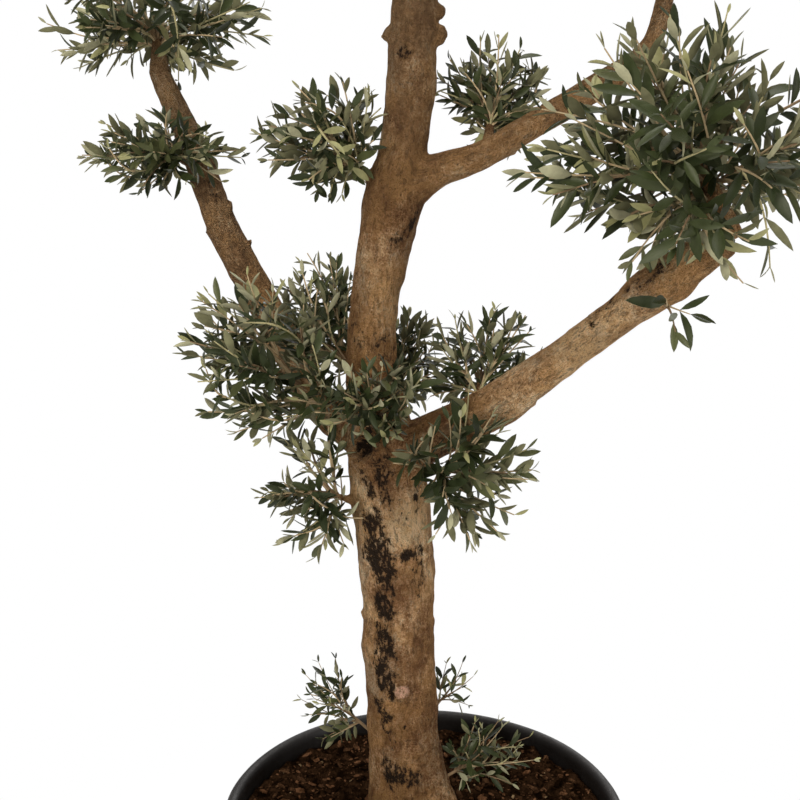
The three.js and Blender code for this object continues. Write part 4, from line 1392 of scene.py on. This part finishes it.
def wantedLength(mass):
    return finer["twigLength"][0] * mass["spread"].mean() + finer["twigLength"][1]


# The longest shoots, which end where the mass is told they do.
def longShoots(mass, bearers, rng):
    if "longTips" not in mass:
        return np.empty((0, 3, 3))
    tips = np.array(mass["longTips"], float)
    most = finer["furthest"] - finer["longRoom"] * mass["leafLength"] / mass["spread"].mean()
    share = insideShare(mass, tips)[:, None]
    tips = mass["middle"] + (tips - mass["middle"]) * np.minimum(1, most / share)
    return curvesTo(mass, bearers, tips, wantedLength(mass) * finer["strayLength"], 0, rng)


# Rounds of twigs with their tips spread over the mass, and the strays that stand out of it.
def twigsOf(mass, shoots, count, rng):
    inner, outer = finer["tipDepth"]
    leafRoom = finer["tipRoom"] * mass["leafLength"] / mass["spread"].mean()
    outer = min(outer, finer["furthest"] - leafRoom - finer["strayRoom"])
    mass["waves"] = rng.normal(0, finer["waves"], (3, 3))
    wanted = wantedLength(mass)
    twigs = np.empty((0, 3, 3))
    for later in range(finer["rounds"]):
        bearers = np.concatenate([shoots, twigs])
        tips = scatteredTips(mass, [inner, outer], rng)
        curves = curvesTo(mass, bearers, tips, wanted * finer["laterLength"] ** later, finer["uplift"], rng)
        ends, others = (pointOn(rows, finer["spreadAt"]) for rows in (curves, twigs))
        twigs = np.concatenate([twigs, curves[evenly(ends, -(-count // finer["rounds"]), others)]])
    tips = scatteredTips(mass, finer["strayDepth"], rng)
    strays = curvesTo(mass, shoots, tips, wanted * finer["strayLength"], finer["uplift"], rng)
    strays = strays[evenly(strays[:, 2], max(round(count * finer["strays"]), finer["leastStrays"]), [])]
    return twigs, np.concatenate([strays, longShoots(mass, shoots, rng)])


# Opposite pairs of leaves up a curve, each pair square to the last, and small ones at the tip.
def leavesOn(mass, curves, rng, fromShare, apart=1.0):
    length = np.linalg.norm(curves[:, 2] - curves[:, 0], axis=1)
    pairs = np.round(length * (1 - fromShare) / (finer["pairEvery"] * apart * mass["leafLength"]))
    pairs = np.clip(pairs, *finer["pairs"]).astype(int)
    rows = []
    for i, count in enumerate(pairs):
        turn = rng.random() * math.pi
        for k in range(max(count + 1 - mass.get("lastPairs", 99), 0), count + 1):
            up = k / count
            share = fromShare + (1 - fromShare) * min(max(up + rng.normal(0, finer["shareSpread"]), 0), 1)
            for half in (0, math.pi):
                ownTurn = turn + k * math.pi / 2 + half + rng.normal(0, finer["turnSpread"])
                rows.append([i, share, ownTurn, up])
    rows = np.array(rows)
    owner, share, turn, up = rows[:, 0].astype(int), rows[:, 1:2], rows[:, 2:3], rows[:, 3]
    own = curves[owner]
    root, heading = pointOn(own, share), headingOn(own, share)
    side = unit(np.cross(heading, [0.05, 0.99, 0.12]))
    front = np.cross(side, heading)
    low, high = finer["pairAngle"]
    angle = low + (high - low) * up ** finer["angleRise"] + rng.normal(0, finer["angleSpread"], len(up))
    angle = np.radians(angle)[:, None]
    sideways = side * np.cos(turn) + front * np.sin(turn)
    out = heading * np.cos(angle) + sideways * np.sin(angle)
    out = unit(out + rng.normal(0, finer["outSpread"], root.shape))
    # The longest leaves sit half-way up a twig, and the last pairs are young ones.
    full = mass["leafLength"] * (0.8 + 0.3 * np.sin(math.pi * (0.1 + 0.8 * up)))
    full *= np.clip(1 + rng.normal(0, finer["sizeSpread"], len(up)), *finer["sizes"])
    if "lastPairs" not in mass:
        full *= np.where(up > 0.99, finer["tipLeaf"], np.where(up > 0.8, finer["nextLeaf"], 1))
    size = np.minimum(full, toEdge(mass, root, out) * finer["furthest"])
    size = np.where(size < full * finer["leastLeaf"], 0, size)
    lift = heading * finer["facingAlong"] + rng.normal(0, finer["facingSpread"], root.shape)
    upAndOut = unit(root - mass["middle"]) * finer["facingOut"] + [0, 0, finer["facingUp"]]
    lift += mass.get("facing", upAndOut)
    normal = unit(lift - out * (lift * out).sum(axis=1, keepdims=True))
    wide = np.cross(normal, out)
    keep = size > 0
    for part in (0.5, 1.0):
        keep &= roomFor(
            mass, root + out * (size * part)[:, None], finer["furthest"] + finer["tipSlack"],
            finer["limbClear"], finer["massShare"],
        )
    frames = np.stack([out, wide, normal], axis=2) * size[:, None, None]
    return {"frames": frames[keep], "origins": root[keep], "owner": owner[keep], "up": up[keep]}


leafColours = {
    # upper faces, then under faces
    "deepGreen": plain(0.0165, 0.0215, 0.0075),
    "green": plain(0.026, 0.0325, 0.0105),
    "greyGreen": plain(0.056, 0.06, 0.0225),
    "youngGreen": plain(0.205, 0.192, 0.085),
    "underSage": plain(0.13, 0.123, 0.064),
    "underPale": plain(0.29, 0.272, 0.165),
}
leafTones = {
    # shares of the four upper greens in a pad, on its strays and on the thin sprigs
    "pad": [0.52, 0.37, 0.09, 0.02],
    "stray": [0.28, 0.4, 0.22, 0.1],
    "sprig": [0.3, 0.42, 0.18, 0.1],
    "shadedSprig": [0.6, 0.34, 0.05, 0.01],
    "youngTip": 0.32,  # share of the twigs whose last leaves are young, twice that of the strays
    "paleUnder": 0.3,
}
upperTones, young, sage, pale = 4, 3, 4, 5  # places in the list of leaf materials


def makeLeafMaterial(name, colour, isUpper):
    material, tree, place = newMaterial(name)
    cloud = effect(tree, "clouds", place, 60.0, 0.6)
    veins = effect(tree, "flecks", place, 900.0, 0.3)
    base = mixed(tree, cloud, shade(colour, 0.78), shade(colour, 1.3))
    base = laidOver(tree, base, shade(colour, 1.7), veins, 0.14)
    rough = [0.28, 0.42] if isUpper else [0.62, 0.78]
    finished(tree, {
        "Base Color": base,
        "Roughness": scaled(tree, cloud, *rough),
        "Specular IOR Level": 0.2 if isUpper else 0.08,
        "Specular Tint": plain(1.0, 0.96, 0.74),
    }, [(veins, 0.0003, 0.3)])
    return material


twigColours = {
    "woody": plain(0.22, 0.14, 0.07),
    "tan": plain(0.4, 0.29, 0.155),
    "green": plain(0.35, 0.3, 0.145),
}


def makeTwigMaterial(name, colour):
    material, tree, place = newMaterial(name)
    cloud = effect(tree, "clouds", place, 90.0, 0.7)
    crumbs = effect(tree, "flecks", place, 700.0, 0.3)
    darker = shade(colour, 0.7)
    base = laidOver(tree, mixed(tree, cloud, darker, colour), darker, crumbs, 0.4)
    finished(tree, {"Base Color": base, "Roughness": 0.8, "Specular IOR Level": 0.3}, [(crumbs, 0.0004, 0.5)])
    return material


leafMaterials = [
    makeLeafMaterial(name, colour, not name.startswith("under")) for name, colour in leafColours.items()
]
twigMaterials = [makeTwigMaterial(name + "Twig", colour) for name, colour in twigColours.items()]
leafKinds = [leafTemplate(*kind) for kind in leafShape["kinds"]]


def growMass(mass):
    draw = seededDraws(mass["seed"])
    rng = np.random.default_rng(mass["seed"])
    shoots = shootsOf(mass, mass["shoots"], draw)
    own = len(shoots)
    if mass.get("airy"):
        shoots = np.concatenate([shoots, longShoots(mass, shoots, rng)])
        twigs = airyTwigs(mass, shoots, rng)
        leaves = leavesOn(mass, np.concatenate([shoots, twigs]), rng, mass["airy"], mass["apart"])
        return shoots, twigs, leaves, own
    more = shootsOf(mass, round(mass["shoots"] * finer["moreShoots"]), draw, finer["moreReach"])
    shoots = np.concatenate([shoots, more])
    front = math.pi * mass["spread"][0] * mass["spread"][2]
    leafFront = finer["frontShare"] * mass["leafLength"] ** 2 / mass.get("fullness", 1)
    twigs, strays = twigsOf(mass, shoots, round(front / leafFront / finer["leavesPerTwig"]), rng)
    first, middle = finer["shootEnds"]
    ends = np.stack([pointOn(shoots, first), pointOn(shoots, middle), shoots[:, 2]], axis=1)
    dense = leavesOn(mass, np.concatenate([twigs, ends]), rng, finer["leavesFrom"])
    sparse = leavesOn(mass, strays, rng, finer["strayLeavesFrom"], finer["strayPairs"])
    sparse["owner"] += len(twigs) + len(ends)
    leaves = {key: np.concatenate([dense[key], sparse[key]]) for key in dense}
    leaves["strayFrom"] = len(twigs) + len(ends)
    return shoots, np.concatenate([twigs, strays]), leaves, own


# On an airy spray each shoot bears a few short side twigs.
def airyTwigs(mass, shoots, rng):
    ahead, outward, upward = finer["sideHeading"]
    curves = []
    for shoot in shoots:
        for share in mass["sideTwigs"]:
            start = pointOn(shoot[None], share)[0]
            heading = headingOn(shoot[None], share)[0]
            aside = unit(np.cross(heading, rng.normal(0, 1, 3)))
            out = unit(heading * ahead + aside * outward + [0, 0, upward])
            length = (1 - share * 0.5) * finer["sideLength"] * mass["spread"].mean()
            curves.append([start, start + heading * length * growth["lead"], start + out * length])
    curves = np.array(curves).reshape(-1, 3, 3)
    return curves[curvesWithRoom(mass, curves, [0.5, 1])]


def leafParts(leaves, rng, shares):
    count = len(leaves["origins"])
    twigTone = rng.choice(upperTones, size=leaves["owner"].max() + 1, p=shares)
    strayTone = rng.choice(upperTones, size=len(twigTone), p=leafTones["stray"])
    strays = np.arange(len(twigTone)) >= leaves.get("strayFrom", len(twigTone))
    twigTone = np.where(strays, strayTone, twigTone)
    tone = twigTone[leaves["owner"]]
    hasYoungTip = rng.random(len(twigTone)) < leafTones["youngTip"] * np.where(strays, 2, 1)
    tone = np.where((leaves["up"] > 0.8) & hasYoungTip[leaves["owner"]], young, tone)
    under = np.where((tone == young) | (rng.random(count) < leafTones["paleUnder"]), pale, sage)
    kind = rng.integers(0, len(leafKinds), count)
    parts = []
    for k, template in enumerate(leafKinds):
        chosen = kind == k
        if chosen.any():
            part = repeat(template, leaves["frames"][chosen], leaves["origins"][chosen])
            upper = part["sides"] == 0
            part["finish"] = np.where(upper, tone[chosen][:, None], under[chosen][:, None])
            parts.append(part)
    return parts


def twigParts(mass, shoots, twigs, own, rng):
    airy = mass.get("airy")
    shootRadii = np.tile(finer["shootRadius"], (len(shoots), 1)) * (finer["airyShoot"] if airy else 1.0)
    shootRadii[own:] *= finer["moreThin"]
    twigRadii = np.tile(finer["twigRadius"], (len(twigs), 1)) * (finer["airyTwig"] if airy else 1.0)
    parts = []
    for curves, radii, steps, finish in (
        (shoots, shootRadii, 7, [0, 0, 1]), (twigs, twigRadii, 6, [1, 1, 2]),
    ):
        part = tubesOn(curves, radii, 5, steps)
        tone = rng.choice(finish, size=(part["count"], 1))
        part["finish"] = np.tile(tone, (1, part["faces"]))
        parts.append(part)
    return parts


regions = {
    "low": [
        "low_left", "low_left_back", "low_left_under", "low_right", "low_right_under", "low_front",
        "low_back",
    ],
    "foot": ["foot_left", "foot_right", "foot_front"],
    "left": ["left_top", "left_mid"],
    "fork": ["fork_left", "fork_right"],
    "right": ["right_low", "right_spray"],
    "top": ["right_high", "crown", "top_left", "top_back", "top_front"],
}
for region, names in regions.items():
    leafArrays, twigArrays, leafCount = [], [], 0
    for mass in (masses[name] for name in names):
        rng = np.random.default_rng(mass["seed"] + finer["seedStep"])
        shoots, twigs, leaves, own = growMass(mass)
        leafArrays += leafParts(leaves, rng, leafTones[mass.get("tones", "pad")])
        twigArrays += twigParts(mass, shoots, twigs, own, rng)
        leafCount += len(leaves["origins"])
        if mass.get("airy"):  # its stem is too fine for the skin of the wood
            part = tubesOn(mass["stem"]["rows"][None, :, :3], np.array([finer["fineStem"]]), 6, 6)
            part["finish"] = np.zeros((1, part["faces"]), int)
            twigArrays.append(part)
    nodes = ["foliage_" + name for name in names]
    newPiece("leaves_" + region, meshOf("leaves_" + region, leafArrays), leafMaterials, nodes)
    newPiece("twigs_" + region, meshOf("twigs_" + region, twigArrays), twigMaterials, nodes)
    print(region, "foliage has", leafCount, "leaves")

# ---- compost ----

compost = {
    "steps": 168,
    "ringEvery": 5.5,
    "clods": 9.0,
    "clodSize": 34,
    "crumbs": 6.0,
    "crumbSize": 9,
    "heap": 3.5,  # how much higher it lies against the trunk
    "heapWidth": 30,
    "wallHeap": 7.0,  # and against the pot's wall
    "wallHeapWidth": 85,
    "wallHeapRise": 1.3,
    "sunk": 2,
    "flatBelow": 10,  # the top is spun flat this far down, and raised to its heaps after
    "edgeBelow": 12,
    "footHeight": 7.3,
    # The pot's inner wall: radius at its foot and at its mouth, the height between them, and a small gap.
    "wall": [231, 279, 424],
    "wallGap": 2.2,
    "seed": 5,
}
chips = {
    "count": 5200,
    "edgeBelow": 8,
    "fromWall": 6,
    "fromTrunk": 62,
    "kinds": 4,
    "lumpy": 0.7,
    "lumpSize": 2.3,
    "logLength": [1.62, 0.55],
    "length": [2.5, 18],
    "width": [0.4, 0.8],  # shares of the length
    "height": [0.25, 0.55],
    "tilt": [0.35, 0.3],  # along and across
    "sharpAngle": 20,
    "shares": [0.38, 0.35, 0.25, 0.02],
    "standOut": 0.25,
}
# Darkest and lightest of each kind, in the order of the chips' shares.
compostColours = {
    "darkCompost": [plain(0.0044, 0.0021, 0.0009), plain(0.028, 0.0132, 0.006)],
    "peatChip": [plain(0.006, 0.0028, 0.0012), plain(0.019, 0.0088, 0.0042)],
    "brownChip": [plain(0.022, 0.0102, 0.0046), plain(0.078, 0.038, 0.018)],
    "redChip": [plain(0.05, 0.022, 0.0095), plain(0.135, 0.063, 0.03)],
    "strawChip": [plain(0.11, 0.068, 0.034), plain(0.25, 0.165, 0.085)],
}
trunkFoot = np.array(limbs["trunk"]["stations"][0], float)


def wallAt(height):
    atFoot, atMouth, climb = compost["wall"]
    return atFoot + (atMouth - atFoot) * height / climb - compost["wallGap"]


def compostHeight(x, y):
    away = math.hypot(x - trunkFoot[0], y - trunkFoot[1]) - trunkFoot[3]
    toWall = min(max(1 - (wallAt(soilTop) - math.hypot(x, y)) / compost["wallHeapWidth"], 0), 1)
    place = Vector((x, y, 0))
    rise = noise.fractal(place / compost["clodSize"], 1.0, 2.0, 3) * compost["clods"]
    rise += noise.fractal(place / compost["crumbSize"], 1.0, 2.0, 2) * compost["crumbs"]
    rise += compost["wallHeap"] * toWall ** compost["wallHeapRise"] - compost["sunk"]
    return soilTop + rise + compost["heap"] * math.exp(-((away / compost["heapWidth"]) ** 2))


def makeCompostMaterial(name, dark, light):
    material, tree, place = newMaterial(name)
    cloud = effect(tree, "clouds", place, 55.0, 0.85)
    crumbs = effect(tree, "flecks", place, 300.0, 0.35)
    fibre = effect(tree, "flecks", place, 900.0, 0.3)
    finished(tree, {
        "Base Color": laidOver(tree, mixed(tree, cloud, dark, light), dark, crumbs, 0.6),
        "Roughness": scaled(tree, cloud, 0.85, 0.97),
        "Specular IOR Level": 0.0,
    }, [(crumbs, 0.002, 0.7), (fibre, 0.0008, 0.5)])
    return material


compostMaterials = [makeCompostMaterial(name, *pair) for name, pair in compostColours.items()]


def makeCompost():
    top, foot = soilTop - compost["flatBelow"], compost["footHeight"]
    rings = np.arange(wallAt(soilTop - compost["edgeBelow"]), 0, -compost["ringEvery"])
    profile = [[0, foot], [wallAt(foot), foot], *[[radius, top] for radius in rings], [0, top]]
    bm = spun(profile, compost["steps"])
    for vert in bm.verts:
        if vert.co.z > foot * 2 * mm:
            vert.co.z = compostHeight(vert.co.x / mm, vert.co.y / mm) * mm
    mesh = meshFrom(bm, "compost")
    mesh.shade_smooth()
    newPiece("compost", mesh, compostMaterials[:1], ["soil"])


def chipTemplate(kind):
    bm = bmesh.new()
    bmesh.ops.create_icosphere(bm, subdivisions=1, radius=0.5)
    for vert in bm.verts:
        vert.co *= 1 + chips["lumpy"] * noise.noise(vert.co * chips["lumpSize"] + Vector((kind * 9.1, 0, 0)))
    template = templateOf(bm)
    bm.free()
    return template


# Bark chips and crumbs strewn on the compost.
def makeChips():
    rng = np.random.default_rng(compost["seed"])
    parts = []
    outer = wallAt(soilTop - chips["edgeBelow"]) - chips["fromWall"]
    for kind in range(chips["kinds"]):
        template = chipTemplate(kind)
        count = chips["count"] // chips["kinds"]
        radius = outer * np.sqrt(rng.random(count))
        turn = rng.random(count) * 2 * math.pi
        places = np.stack([radius * np.cos(turn), radius * np.sin(turn)], axis=1)
        places = places[np.linalg.norm(places - trunkFoot[:2], axis=1) > chips["fromTrunk"]]
        count = len(places)
        length = np.clip(rng.lognormal(*chips["logLength"], count), *chips["length"])
        width = length * rng.uniform(*chips["width"], count)
        height = length * rng.uniform(*chips["height"], count)
        level = rng.random(count) * 2 * math.pi
        along, sideways = chips["tilt"]
        heading = unit(np.stack([np.cos(level), np.sin(level), rng.normal(0, along, count)], axis=1))
        wide = unit(np.cross([0, 0, 1], heading) + rng.normal(0, sideways, (count, 3)))
        wide = unit(wide - heading * (wide * heading).sum(axis=1, keepdims=True))
        frames = np.stack([heading, wide, np.cross(heading, wide)], axis=2)
        frames *= np.stack([length, width, height], axis=1)[:, None, :]
        heights = np.array([compostHeight(x, y) for x, y in places]) + height * chips["standOut"]
        part = repeat(template, frames, np.column_stack([places, heights]))
        tone = rng.choice(len(chips["shares"]), size=(count, 1), p=chips["shares"])
        part["finish"] = np.tile(tone, (1, len(template["sizes"])))
        parts.append(part)
    mesh = meshOf("barkChips", parts, chips["sharpAngle"])
    newPiece("barkChips", mesh, compostMaterials[1:], ["soil"])


makeCompost()
makeChips()
print("compost is made")
